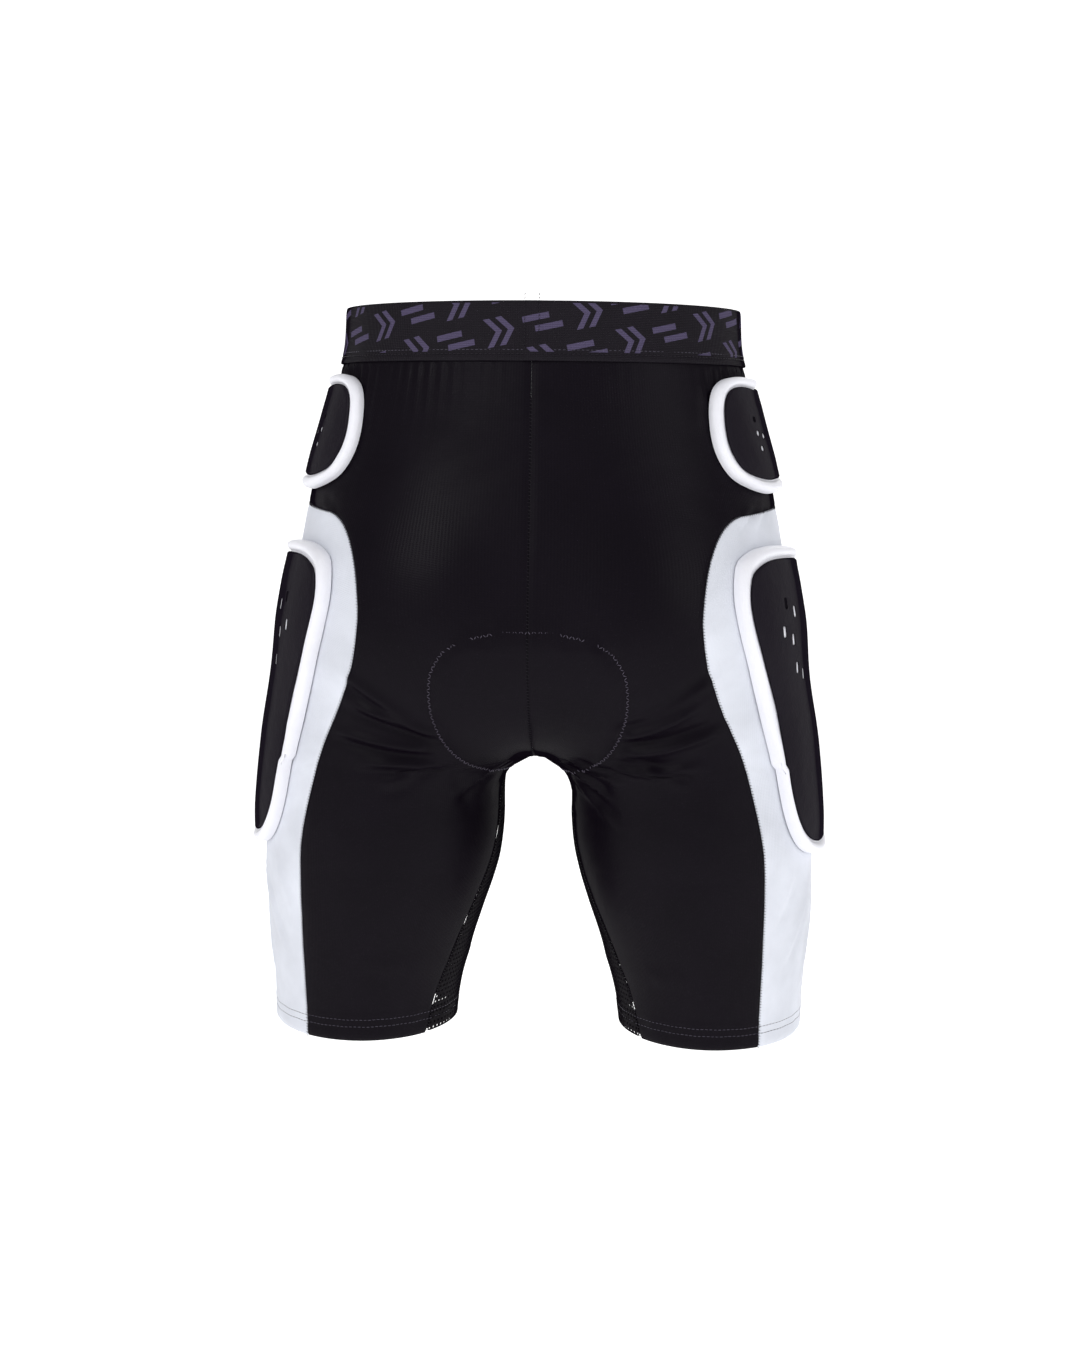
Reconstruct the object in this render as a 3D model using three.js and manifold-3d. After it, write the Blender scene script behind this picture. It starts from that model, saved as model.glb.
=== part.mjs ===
// Padded impact shorts: a stretch-knit body in sewn panels, an elastic waistband, moulded hip and thigh
// pads and a foam seat pad. Millimetres, +Z up, +Y towards the wearer's front, wearer's left at -X.
// The origin is the centre of the waist opening.
import * as THREE from "three";
import { mergeVertices } from "three/addons/utils/BufferGeometryUtils.js";
import Module from "manifold-3d";

const wasm = await Module();
wasm.setup();

// ---------------------------------------------------------------- driving sizes

const RISE = 304; // waist to crotch, straight down
const INSEAM = 196; // crotch to hem
const WAIST_WIDTH = 268; // across the waist opening, side to side
const WAIST_DEPTH = 200; // across the waist opening, back to front
const HIP_WIDTH = 342; // across the seat, side to side
const SEAT_DEPTH = 224; // across the seat, back to front
const STANCE_WIDTH = 386; // across both thighs at their widest
const THIGH_GAP = 49; // between the thighs just below the crotch
const THIGH_DEPTH = 174;
const HEM_WIDTH = 129; // across one leg opening, side to side
const HEM_DEPTH = 132;
const HEM_CENTRE = 123; // from the centre line to the middle of a leg opening
const WAIST_TILT = 1.5; // degrees: the waist stands higher at the back
const HEM_TILT = 3.5; // degrees: the hem hangs lower at the back

const FABRIC = 1.2; // knit thickness
const SEAM_GAP = 0.3; // between pieces that are sewn edge to edge
const LAYER_GAP = 0.5; // between pieces that lie on each other, which allows for the facets of both
const PAD_GAP = 1.05; // between the knit and the moulded pads on it
const LINING_GAP = 2.1; // between the knit and the seat pad inside it

const BAND_HEIGHT = 38; // woven elastic
const BAND_THICKNESS = 1.8;
const BAND_OVERLAP = 9; // how far the knit runs up behind the elastic
const HEM_TURN = 18; // height of the turned-up hem
const HEM_LAYER = 1;

const PAD_RIM_WIDTH = 8.2; // moulded rolled border
const PAD_PLATE = 1.8; // plate thickness
const PLATE_FIT = 0.4; // between the plate and the rim around it

const SEAT_PAD_BASE = 1.6;
const SEAT_PAD_FOAM = 7;
const SEAT_PAD_COVER = 1;

const LABEL_SIZE = [34, 26, 0.5]; // care label: width, height, thickness

const SIDE_PANEL_TOP = -133; // level of the white panel's upper edge
const SIDE_CORNER_WIDTH = 24; // its rounded upper corners
const SIDE_CORNER_HEIGHT = 50;
const SIDE_EDGE_TOP = 114; // its rear edge, from the centre line: below the corner
const SIDE_EDGE_THIGH = 158; // and along the thigh
const GUSSET_TOP = 0.02; // half the inner thigh panel, as a share of the way round the leg: at the crotch
const GUSSET_HEM = 0.11; // and at the hem

// The moulded pads. `shape` lists [share of the height below the top, share of the half width].
const PAD_SIDES = 32; // facets round a pad
const HIP_PAD = {
  top: -46,
  height: 77,
  width: 117,
  lean: [12, 16], // how far behind the side line its middle lies, at its top and its bottom
  tilt: 0, // how much its top rises towards the back
  roll: 6.8, // height of the rolled rim
  core: 3.6, // height of the foam under the plate
  shape: [[0, 0], [0, 0.5], [0.05, 0.77], [0.18, 0.92], [0.42, 1], [0.64, 0.99], [0.82, 0.87], [0.92, 0.64],
    [0.985, 0.32], [1, 0]],
  // [behind its middle, below the top], and again in front of it
  vents: [[21, 29], [20, 38], [12, 40], [19, 48]],
  ventSize: [4.6, 4],
};
const THIGH_PAD = {
  top: -158,
  height: 212,
  width: 126,
  lean: [24, 14],
  tilt: 0.18,
  roll: 8.4,
  core: 5,
  shape: [[0, 0], [0.004, 0.5], [0.026, 0.77], [0.06, 0.9], [0.145, 0.98], [0.29, 0.98], [0.49, 0.91],
    [0.67, 0.86], [0.82, 0.79], [0.91, 0.67], [0.965, 0.49], [0.993, 0.25], [1, 0]],
  vents: [[29, 37], [19, 44], [36, 54], [27, 61], [25, 81], [16, 87]],
  ventSize: [4.4, 8],
};

// The seat pad: its ends on the rise seam, and [share of its length, half width].
const SEAT_PAD = {
  back: -210,
  front: -262,
  shape: [[0, 14], [0.02, 42], [0.045, 56], [0.09, 64], [0.16, 65], [0.22, 61], [0.28, 54], [0.36, 42],
    [0.42, 30], [0.5, 17], [0.62, 17], [0.8, 26], [0.93, 21], [1, 12]],
};

// Colours of the materials.
const BLACK_KNIT = { color: 0x1b1820, roughness: 0.62, metalness: 0 };
const WHITE_KNIT = { color: 0xe4e5ee, roughness: 0.7, metalness: 0 };
const BLACK_MESH = { color: 0x15131a, roughness: 0.8, metalness: 0 };
const BLACK_ELASTIC = { color: 0x1a181f, roughness: 0.75, metalness: 0 };
const WHITE_FOAM = { color: 0xeaeaf2, roughness: 0.55, metalness: 0 };
const BLACK_PLATE = { color: 0x1f1c24, roughness: 0.5, metalness: 0 };
const GREY_FOAM = { color: 0x4a4a52, roughness: 0.9, metalness: 0 };
const BLACK_COVER = { color: 0x24222a, roughness: 0.85, metalness: 0 };
const LABEL_CLOTH = { color: 0xd8d8d8, roughness: 0.6, metalness: 0 };

// ---------------------------------------------------------------- levels

const CROTCH = -RISE;
const HEM = -(RISE + INSEAM);
const SEAT = -0.68 * RISE; // level of the fullest seat, where the underside starts to round
const THIGH = CROTCH - 0.4 * INSEAM; // level where the thighs stand widest

const radians = THREE.MathUtils.degToRad;
const mix = THREE.MathUtils.lerp;
const smoothstep = (t) => t * t * (3 - 2 * t);

// A smooth curve through [level, value] stations, listed downwards; flat beyond its ends.
function profile(stations) {
  const curve = new THREE.SplineCurve(stations.map(([z, v]) => new THREE.Vector2(z, v)));
  return (z) => {
    const last = stations.length - 1;
    if (z >= stations[0][0]) return stations[0][1];
    if (z <= stations[last][0]) return stations[last][1];
    const i = stations.findIndex(([level]) => z > level) - 1;
    const t = (z - stations[i][0]) / (stations[i + 1][0] - stations[i][0]);
    return curve.getPoint((i + t) / last).y;
  };
}

// ---------------------------------------------------------------- the body form

const torsoHalfWidth = profile([
  [0, WAIST_WIDTH / 2],
  [-0.13 * RISE, WAIST_WIDTH / 2 + 5],
  [-0.45 * RISE, mix(WAIST_WIDTH, HIP_WIDTH, 0.8) / 2],
  [SEAT, HIP_WIDTH / 2],
]);
const torsoBack = profile([
  [0, WAIST_DEPTH / 2],
  [-0.35 * RISE, WAIST_DEPTH / 2 + 10],
  [SEAT, SEAT_DEPTH / 2],
]);
const torsoFront = profile([
  [0, WAIST_DEPTH / 2 - 2],
  [-0.3 * RISE, WAIST_DEPTH / 2 + 6],
  [SEAT, SEAT_DEPTH / 2 - 12],
]);
const legOuter = profile([
  [SEAT, HIP_WIDTH / 2 + 2],
  [CROTCH, STANCE_WIDTH / 2 - 5],
  [THIGH, STANCE_WIDTH / 2],
  [mix(THIGH, HEM, 0.6), HEM_CENTRE + HEM_WIDTH / 2 + 2],
  [HEM, HEM_CENTRE + HEM_WIDTH / 2],
]);
const legInner = profile([
  [SEAT, THIGH_GAP / 2],
  [CROTCH, THIGH_GAP / 2],
  [THIGH + 8, THIGH_GAP / 2 + 1.5],
  [mix(THIGH, HEM, 0.6), HEM_CENTRE - HEM_WIDTH / 2 - 9.5],
  [HEM, HEM_CENTRE - HEM_WIDTH / 2],
]);
const legHalfDepth = profile([
  [CROTCH, THIGH_DEPTH / 2],
  [THIGH, THIGH_DEPTH / 2 - 3],
  [HEM, HEM_DEPTH / 2],
]);
const legCentreY = profile([
  [CROTCH, -7],
  [THIGH, -4],
  [HEM, 4],
]);
const legCentreX = (z) => (legOuter(z) + legInner(z)) / 2;
const legHalfWidth = (z) => (legOuter(z) - legInner(z)) / 2;

const UNDERSIDE = SEAT - CROTCH - 6; // the torso's underside is this deep, before it blends into the thighs
const LEG_TOP = mix(SEAT, CROTCH, 0.7); // a thigh's own shape fades out above this level
const LEG_FADE = 120;
const SEAT_BLEND = 34; // radius of the blend between torso and thighs
const CROTCH_BLEND = 26; // radius of the arch between the thighs
const GLUTE = { centre: [60, -50, SEAT - 4], radii: [80, 70, 92], blend: 40 };
const TORSO_RADIUS = 120; // typical radii, which turn each shape's own measure into millimetres
const THIGH_RADIUS = 85;

const roundness = (...terms) => Math.sqrt(terms.reduce((sum, t) => sum + t * t, 0));

function smoothMin(a, b, radius) {
  const h = Math.max(radius - Math.abs(a - b), 0) / radius;
  return Math.min(a, b) - (h * h * radius) / 4;
}

function torso(x, y, z) {
  const depth = y < 0 ? torsoBack(z) : torsoFront(z);
  const below = Math.max(SEAT - z, 0) / UNDERSIDE;
  return (roundness(x / torsoHalfWidth(z), y / depth, below) - 1) * TORSO_RADIUS;
}

function thigh(x, y, z) {
  const above = Math.max(z - LEG_TOP, 0) / LEG_FADE;
  const across = (x - legCentreX(z)) / legHalfWidth(z);
  return (roundness(across, (y - legCentreY(z)) / legHalfDepth(z), above) - 1) * THIGH_RADIUS;
}

function glute(x, y, z) {
  const [cx, cy, cz] = GLUTE.centre;
  const [rx, ry, rz] = GLUTE.radii;
  return (roundness((x - cx) / rx, (y - cy) / ry, (z - cz) / rz) - 1) * ry;
}

// Roughly how far a point is outside the form: negative inside, zero on the outer face of the knit.
function outside(x, y, z) {
  const legs = smoothMin(thigh(x, y, z), thigh(-x, y, z), CROTCH_BLEND);
  const glutes = smoothMin(glute(x, y, z), glute(-x, y, z), GLUTE.blend);
  const seat = smoothMin(torso(x, y, z), glutes, GLUTE.blend);
  return smoothMin(seat, legs, SEAT_BLEND);
}

function gradient(p) {
  const e = 0.01;
  return new THREE.Vector3(
    outside(p.x + e, p.y, p.z) - outside(p.x - e, p.y, p.z),
    outside(p.x, p.y + e, p.z) - outside(p.x, p.y - e, p.z),
    outside(p.x, p.y, p.z + e) - outside(p.x, p.y, p.z - e),
  ).divideScalar(2 * e);
}

function ontoForm(p) {
  for (let i = 0; i < 12; i++) {
    const g = gradient(p);
    p.addScaledVector(g, -outside(p.x, p.y, p.z) / g.lengthSq());
  }
  return p;
}

// ---------------------------------------------------------------- rings round one half of the form

const CROTCH_RING = RISE / (RISE + INSEAM); // rings above it end at the centre line, rings below it close
const RISE_STRAIGHT = 0.56; // share of the rise seam above the rounded underside

// How far round the underside a ring starts: 0 above the seat, a quarter turn at the crotch.
function underTurn(s) {
  const t = Math.min(s / CROTCH_RING, 1);
  return t < RISE_STRAIGHT ? 0 : ((t - RISE_STRAIGHT) / (1 - RISE_STRAIGHT)) * (Math.PI / 2);
}

// Level at which a ring meets the rise seam.
function riseLevel(s) {
  const t = s / CROTCH_RING;
  if (t >= RISE_STRAIGHT) return SEAT - (SEAT - CROTCH) * Math.sin(underTurn(s));
  return CROTCH * t + (SEAT - CROTCH * RISE_STRAIGHT) * (t / RISE_STRAIGHT) ** 3;
}

// The ring that meets the rise seam at a level of the rounded underside.
function riseRing(level) {
  const turn = Math.asin((SEAT - level) / (SEAT - CROTCH)) / (Math.PI / 2);
  return CROTCH_RING * mix(RISE_STRAIGHT, 1, turn);
}

// A point of the +X half. s runs from the waist (0) to the hem (1); u runs round from the centre back or
// the inside leg (0), over the outer side (0.5), to the centre front or the inside leg again (1).
function formPoint(u, s) {
  const level = mix(0, HEM, s);
  const turn = (u - 0.5) * 2; // -1 at the back end, 1 at the front end
  const depth = turn < 0 ? torsoBack(level) : torsoFront(level);
  const open = new THREE.Vector2(
    torsoHalfWidth(level) * Math.cos((turn * Math.PI) / 2),
    depth * Math.sin((turn * Math.PI) / 2),
  );
  const inner = s > CROTCH_RING ? legInner(level) : 0;
  const outer = legOuter(level);
  const centreY = legCentreY(level) * smoothstep(Math.max(1 - Math.abs(turn), 0));
  const closed = new THREE.Vector2(
    (outer + inner) / 2 + ((outer - inner) / 2) * Math.cos(turn * Math.PI),
    centreY + legHalfDepth(level) * Math.sin(turn * Math.PI),
  );
  const plan = open.lerp(closed, 1 - Math.cos(underTurn(s)));
  const slope = mix(-Math.tan(radians(WAIST_TILT)), Math.tan(radians(HEM_TILT)), s);
  const flat = level + slope * (plan.y - (s > CROTCH_RING ? legCentreY(level) : 0));
  const z = s < CROTCH_RING ? mix(flat, riseLevel(s) + slope * plan.y, smoothstep(Math.abs(turn))) : flat;
  const p = ontoForm(new THREE.Vector3(plan.x, plan.y, z));
  if (s <= CROTCH_RING && (u === 0 || u === 1)) p.x = 0;
  return p;
}

// ---------------------------------------------------------------- thin solids that follow the form

// A corner of a cell: a place on the form, and how far the piece reaches below and above it.
const corner = (p, low, high) => ({ p, low, high });

// One closed mesh from cells of three or four corners: their faces lifted along the form's normal to the
// lower and upper heights, and walls round every free edge.
function layer(cells) {
  const numbers = new Map();
  const corners = [];
  const number = (c) => {
    const key = c.p.toArray().map((v) => v.toFixed(4)).join();
    if (!numbers.has(key)) {
      numbers.set(key, corners.length);
      corners.push({ ...c, normal: gradient(c.p).normalize() });
    }
    return numbers.get(key);
  };
  const faces = cells
    .map((cell) => cell.map(number).filter((id, i, all) => id !== all[(i + 1) % all.length]))
    .filter((ids) => ids.length > 2);
  const facing = faces.reduce((sum, ids) => {
    const [a, b, c] = ids.map((id) => corners[id].p);
    return sum + new THREE.Triangle(a, b, c).getNormal(new THREE.Vector3()).dot(corners[ids[0]].normal);
  }, 0);
  if (facing < 0) faces.forEach((ids) => ids.reverse());
  const edges = new Set(faces.flatMap((ids) => ids.map((id, i) => `${id},${ids[(i + 1) % ids.length]}`)));
  const positions = corners.flatMap(({ p, normal, low, high }) => [
    ...p.clone().addScaledVector(normal, high),
    ...p.clone().addScaledVector(normal, low),
  ]);
  const index = [];
  const upper = (id) => 2 * id;
  const lower = (id) => 2 * id + 1;
  for (const ids of faces) {
    for (let i = 2; i < ids.length; i++) {
      index.push(upper(ids[0]), upper(ids[i - 1]), upper(ids[i]));
      index.push(lower(ids[i]), lower(ids[i - 1]), lower(ids[0]));
    }
  }
  for (const edge of edges) {
    const [a, b] = edge.split(",").map(Number);
    if (edges.has(`${b},${a}`)) continue;
    index.push(upper(b), upper(a), lower(a), upper(b), lower(a), lower(b));
  }
  const geometry = new THREE.BufferGeometry();
  geometry.setAttribute("position", new THREE.Float32BufferAttribute(positions, 3));
  geometry.setIndex(index);
  return geometry;
}

// The cells between neighbouring rows of equally many corners.
function cellsBetween(rows) {
  const cells = [];
  for (let j = 1; j < rows.length; j++) {
    for (let i = 1; i < rows[j].length; i++) {
      cells.push([rows[j - 1][i - 1], rows[j - 1][i], rows[j][i], rows[j][i - 1]]);
    }
  }
  return cells;
}

const steps = (from, to, count) => Array.from({ length: count + 1 }, (_, i) => mix(from, to, i / count));

// The same piece for the wearer's left.
function mirrored(geometry) {
  const turned = geometry.clone().applyMatrix4(new THREE.Matrix4().makeScale(-1, 1, 1));
  const index = turned.index.array;
  for (let i = 0; i < index.length; i += 3) [index[i + 1], index[i + 2]] = [index[i + 2], index[i + 1]];
  return turned;
}

// ---------------------------------------------------------------- the pieces

const group = new THREE.Group();

function add(name, geometry, material) {
  const mesh = new THREE.Mesh(geometry, new THREE.MeshStandardMaterial(material));
  mesh.name = name;
  group.add(mesh);
}

function addPair(name, geometry, material) {
  add(`${name}_right`, geometry, material);
  add(`${name}_left`, mirrored(geometry), material);
}

// ---------------------------------------------------------------- knit panels

const ringOf = (level) => level / HEM;
const PANEL_START = (BAND_HEIGHT - BAND_OVERLAP) / -HEM;
const SIDE_START = ringOf(SIDE_PANEL_TOP);
const CORNER_END = ringOf(SIDE_PANEL_TOP - SIDE_CORNER_HEIGHT);
const PANEL_COLUMNS = 7; // facets across a black panel behind the side panel's edge
const SIDE_COLUMNS = 14; // and across a side panel
const SEAM_INSET = SEAM_GAP / 2 / 300; // half the gap, as a share of a ring
const ROW_GAP = SEAM_GAP / 2 / -HEM; // half the gap, as a share of the height

// How far from the centre line the side panel's rear edge runs.
const sideEdgeX = profile([
  [SIDE_PANEL_TOP - SIDE_CORNER_HEIGHT, SIDE_EDGE_TOP],
  [mix(SEAT, CROTCH, 0.2), SIDE_EDGE_TOP + 9],
  [mix(SEAT, CROTCH, 0.9), SIDE_EDGE_THIGH - 16],
  [CROTCH - 0.3 * INSEAM, SIDE_EDGE_THIGH],
  [HEM, SIDE_EDGE_THIGH - 1],
]);

// Where the side panel's rear edge crosses a ring.
function sideEdge(s) {
  const level = s * HEM;
  const drop = Math.min((SIDE_PANEL_TOP - level) / SIDE_CORNER_HEIGHT, 1);
  const x = sideEdgeX(level) + SIDE_CORNER_WIDTH * (1 - Math.sqrt(1 - (1 - drop) ** 2));
  let low = 0.12;
  let high = 0.5;
  for (let i = 0; i < 30; i++) {
    const u = (low + high) / 2;
    if (formPoint(u, s).x < x) low = u;
    else high = u;
  }
  return low;
}

// Half the inner thigh panel's share of a ring.
function gussetEdge(s) {
  return s <= CROTCH_RING ? 0 : mix(GUSSET_TOP, GUSSET_HEM, (s - CROTCH_RING) / (1 - CROTCH_RING));
}

const upperRings = [PANEL_START, ...steps(ringOf(-BAND_HEIGHT), SIDE_START - ROW_GAP, 5)];
const lowerRings = [
  ...[0.03, 0.1, 0.22, 0.38, 0.58, 0.8].map((t) => mix(SIDE_START, CORNER_END, t)),
  ...steps(CORNER_END, CROTCH_RING, 9),
  ...steps(CROTCH_RING + 0.02, 1, 9),
];

function panelCorner(u, s) {
  const p = formPoint(u, s);
  p.x = Math.max(p.x, SEAM_GAP / 2);
  return corner(p, -FABRIC, 0);
}

// A black panel of one half: `turn` maps a share counted from the centre back to the panel's own share, so
// the front panel is the same cut counted from the centre front.
function mainPanel(turn) {
  const cornerShare = sideEdge(SIDE_START) - SEAM_INSET;
  const inner = steps(0, cornerShare, PANEL_COLUMNS);
  const outer = steps(cornerShare, 0.5 - SEAM_INSET, 4).slice(1);
  const upper = upperRings.map((s) => [...inner, ...outer].map((u) => panelCorner(turn(u), s)));
  const shared = inner.map((u) => panelCorner(turn(u), SIDE_START - ROW_GAP));
  const lower = lowerRings.map((s) => {
    const start = s > CROTCH_RING - ROW_GAP ? gussetEdge(s) + 3 * SEAM_INSET : 0;
    return steps(start, sideEdge(s) - SEAM_INSET, PANEL_COLUMNS).map((u) => panelCorner(turn(u), s));
  });
  return layer([...cellsBetween(upper), ...cellsBetween([shared, ...lower])]);
}

function sidePanel() {
  const rings = [SIDE_START + ROW_GAP, ...lowerRings];
  return layer(cellsBetween(rings.map((s) => {
    const edge = Math.max(sideEdge(s), sideEdge(Math.max(s - 4 * ROW_GAP, SIDE_START))) + SEAM_INSET;
    return steps(edge, 1 - edge, SIDE_COLUMNS).map((u) => panelCorner(u, s));
  })));
}

function gussetPanel() {
  const rings = lowerRings.filter((s) => s > CROTCH_RING);
  return layer(cellsBetween(rings.map((s) => {
    const edge = gussetEdge(s) - SEAM_INSET;
    return steps(-edge, edge, 4).map((u) => panelCorner(u < 0 ? 1 + u : u, s));
  })));
}

addPair("back_panel", mainPanel((u) => u), BLACK_KNIT);
addPair("front_panel", mainPanel((u) => 1 - u), BLACK_KNIT);
addPair("side_panel", sidePanel(), WHITE_KNIT);
addPair("inner_thigh_panel", gussetPanel(), BLACK_MESH);

// ---------------------------------------------------------------- waistband and hems

// A band round one half of the form or one leg, between two rings.
const bandCells = (s0, s1, stations, low, high) =>
  cellsBetween([s0, s1].map((s) => stations.map((u) => corner(formPoint(u, s), low, high))));

// The same cells on the wearer's left, cut into the mirrored triangles.
const otherHalf = (cells) => cells.map((cell) => {
  const [first, ...rest] = cell.map((c) => ({ ...c, p: c.p.clone().setX(-c.p.x) }));
  return [first, ...rest.reverse()];
});

const bandHalf = bandCells(0, ringOf(-BAND_HEIGHT), steps(0, 1, 28), LAYER_GAP, LAYER_GAP + BAND_THICKNESS);
add("waistband", layer([...bandHalf, ...otherHalf(bandHalf)]), BLACK_ELASTIC);

// The turned hem follows the same facets as the panels above it.
const hemTop = 1 + HEM_TURN / HEM;
const hemStations = (s) => {
  const half = [...steps(0, gussetEdge(s), 2), ...steps(gussetEdge(s), sideEdge(s), PANEL_COLUMNS).slice(1)];
  const side = steps(sideEdge(s), 1 - sideEdge(s), SIDE_COLUMNS).slice(1, -1);
  return [...half, ...side, ...half.map((u) => 1 - u).reverse()];
};
const hemRows = [hemTop, 1].map((s) => hemStations(s).map((u) =>
  corner(formPoint(u, s), -FABRIC - LAYER_GAP - HEM_LAYER, -FABRIC - LAYER_GAP)));
addPair("leg_hem", layer(cellsBetween(hemRows)), BLACK_KNIT);

// ---------------------------------------------------------------- moulded pads on the hips and thighs

// A place on the outer side: `back` millimetres behind the side line, at a level.
function sidePoint(back, level) {
  const s = ringOf(level);
  const e = 0.01;
  const scale = formPoint(0.5 + e, s).distanceTo(formPoint(0.5 - e, s)) / (2 * e);
  return formPoint(0.5 - back / scale, s);
}

// The same for a pad, whose middle leans from the side line.
function padPoint(pad, across, level) {
  const share = (pad.top - level) / pad.height;
  return sidePoint(across + mix(...pad.lean, share), level + pad.tilt * across * (1 - share));
}

// The pad's outline, evenly sampled: [behind the side line, level] pairs from a half profile that lists
// [share of the height below the top, share of the half width].
function padOutline({ top, height, width, shape }) {
  const half = shape.map(([t, w]) => new THREE.Vector2((w * width) / 2, top - t * height));
  const front = half.filter((p) => p.x > 0).map((p) => new THREE.Vector2(-p.x, p.y)).reverse();
  const loop = new THREE.CatmullRomCurve3(
    [...half, ...front].map((p) => new THREE.Vector3(p.x, p.y, 0)), true, "catmullrom", 0.5);
  return loop.getSpacedPoints(PAD_SIDES).slice(0, -1);
}

// Cells from the pad's middle outwards: each ring lies a distance inside the outline, or at a share of the
// way out to the innermost of them.
function padCells(pad, shares, rings) {
  const outline = padOutline(pad);
  const middle = new THREE.Vector3(0, pad.top - pad.height / 2, 0);
  const at = (p, low, high) => corner(padPoint(pad, p.x, p.y), low, high);
  const inset = (p, distance) => p.clone().lerp(middle, distance / p.distanceTo(middle));
  const closed = (row) => [...row, row[0]];
  const rows = [
    ...shares.map(([share, low, high]) =>
      closed(outline.map((p) => at(middle.clone().lerp(inset(p, rings[0][0]), share), low, high)))),
    ...rings.map(([distance, low, high]) => closed(outline.map((p) => at(inset(p, distance), low, high)))),
  ];
  return cellsBetween(rows);
}

function manifoldOf(geometry) {
  const merged = mergeVertices(new THREE.BufferGeometry()
    .setAttribute("position", geometry.getAttribute("position")).setIndex(geometry.index), 1e-4);
  return new wasm.Manifold(new wasm.Mesh({
    numProp: 3,
    vertProperties: merged.attributes.position.array,
    triVerts: new Uint32Array(merged.index.array),
  }));
}

function geometryOf(solid) {
  const mesh = solid.getMesh();
  const geometry = new THREE.BufferGeometry();
  geometry.setAttribute("position", new THREE.BufferAttribute(mesh.vertProperties, 3));
  geometry.setIndex(new THREE.BufferAttribute(mesh.triVerts, 1));
  return geometry;
}

// A round-ended slot through the plate at a place on the form, square to it.
function ventCutter(at, [across, tall], height) {
  const shape = new THREE.Shape();
  const r = Math.min(across, tall) / 2;
  const x = across / 2 - r;
  const y = tall / 2 - r;
  shape.absarc(x, y, r, 0, Math.PI / 2);
  shape.absarc(-x, y, r, Math.PI / 2, Math.PI);
  shape.absarc(-x, -y, r, Math.PI, 1.5 * Math.PI);
  shape.absarc(x, -y, r, 1.5 * Math.PI, 2 * Math.PI);
  const geometry = new THREE.ExtrudeGeometry(shape, { depth: 12, bevelEnabled: false, curveSegments: 1 });
  const out = gradient(at).normalize();
  const up = new THREE.Vector3(0, 0, 1);
  const right = up.clone().cross(out).normalize();
  const frame = new THREE.Matrix4().makeBasis(right, out.clone().cross(right), out);
  frame.setPosition(at.addScaledVector(out, height - 6));
  geometry.applyMatrix4(frame).deleteAttribute("normal").deleteAttribute("uv");
  return manifoldOf(mergeVertices(geometry));
}

function moulded(pad) {
  const low = PAD_GAP;
  const floor = low + pad.core;
  const roll = (share) => low + pad.roll * share;
  const foam = padCells(pad, [0, 0.25, 0.5, 0.75].map((t) => [t, low, floor]), [
    [PAD_RIM_WIDTH, low, floor],
    [PAD_RIM_WIDTH * 0.78, low, roll(0.9)],
    [PAD_RIM_WIDTH * 0.5, low, roll(1)],
    [PAD_RIM_WIDTH * 0.2, low, roll(0.78)],
    [0, low, roll(0.25)],
  ]);
  const under = floor + LAYER_GAP;
  const top = under + PAD_PLATE;
  const sheet = padCells(pad, [0, 0.25, 0.5, 0.75].map((t) => [t, under, top]), [
    [PAD_RIM_WIDTH + PLATE_FIT, under, top],
  ]);
  let plate = manifoldOf(layer(sheet));
  for (const [back, down] of pad.vents) {
    for (const side of [back, -back]) {
      plate = plate.subtract(ventCutter(padPoint(pad, side, pad.top - down), pad.ventSize, under));
    }
  }
  return [layer(foam), geometryOf(plate)];
}

for (const [name, pad] of [["hip_pad", HIP_PAD], ["thigh_pad", THIGH_PAD]]) {
  const [foam, plate] = moulded(pad);
  addPair(`${name}_foam`, foam, WHITE_FOAM);
  addPair(`${name}_plate`, plate, BLACK_PLATE);
}

// ---------------------------------------------------------------- seat pad inside

// The rise seam from the centre back (0), through the crotch (0.5), to the centre front (1) of the seat pad.
function risePoint(t) {
  const back = t < 0.5;
  const from = riseRing(back ? SEAT_PAD.back : SEAT_PAD.front);
  return formPoint(back ? 0 : 1, mix(from, CROTCH_RING, back ? t * 2 : (1 - t) * 2));
}

const seatPadHalfWidth = profile(SEAT_PAD.shape.map(([t, w]) => [-t, w]));
const seatLevel = (t, x) => ontoForm(risePoint(t).setX(x));

// Foam thickness over the pad: two lobes beside a channel down the middle, thinner towards the front.
function seatFoam(t, share) {
  const lobe = Math.max(0, 1 - ((Math.abs(share) - 0.5) / 0.34) ** 2);
  const along = Math.min(1, Math.max(0, Math.sin(Math.PI * Math.min(1, t * 1.12)) * 1.6));
  return SEAT_PAD_FOAM * Math.min(lobe * 1.8, 1) * along;
}

const SEAT_ROWS = 12;
const SEAT_SHARES = [0, 0.08, 0.22, 0.4, 0.6, 0.78, 1];
const LOBE = { rows: [1, SEAT_ROWS / 2 - 2], shares: [1, 5] }; // the first and last that carry foam
const baseTop = -FABRIC - LINING_GAP;
const foamTop = baseTop - SEAT_PAD_BASE - 1.6 * LAYER_GAP;

function inLobe(row, column) {
  const [top, bottom] = LOBE.rows;
  const [inner, outer] = LOBE.shares;
  return row >= top && row <= bottom && column >= inner && column <= outer;
}

// Cells of the right half of the seat pad; `reach` gives the lower and upper height at a row and column.
function seatCells(reach, rows = [0, SEAT_ROWS], columns = [0, SEAT_SHARES.length - 1]) {
  const grid = [];
  for (let row = rows[0]; row <= rows[1]; row++) {
    const t = row / SEAT_ROWS;
    grid.push(SEAT_SHARES.slice(columns[0], columns[1] + 1).map((share, i) =>
      corner(seatLevel(t, share * seatPadHalfWidth(-t)), ...reach(row, columns[0] + i))));
  }
  return cellsBetween(grid);
}

const bothHalves = (cells) => layer([...cells, ...otherHalf(cells)]);
const foamAt = (row, column) => Math.max(seatFoam(row / SEAT_ROWS, SEAT_SHARES[column]), 0.8);

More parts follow.
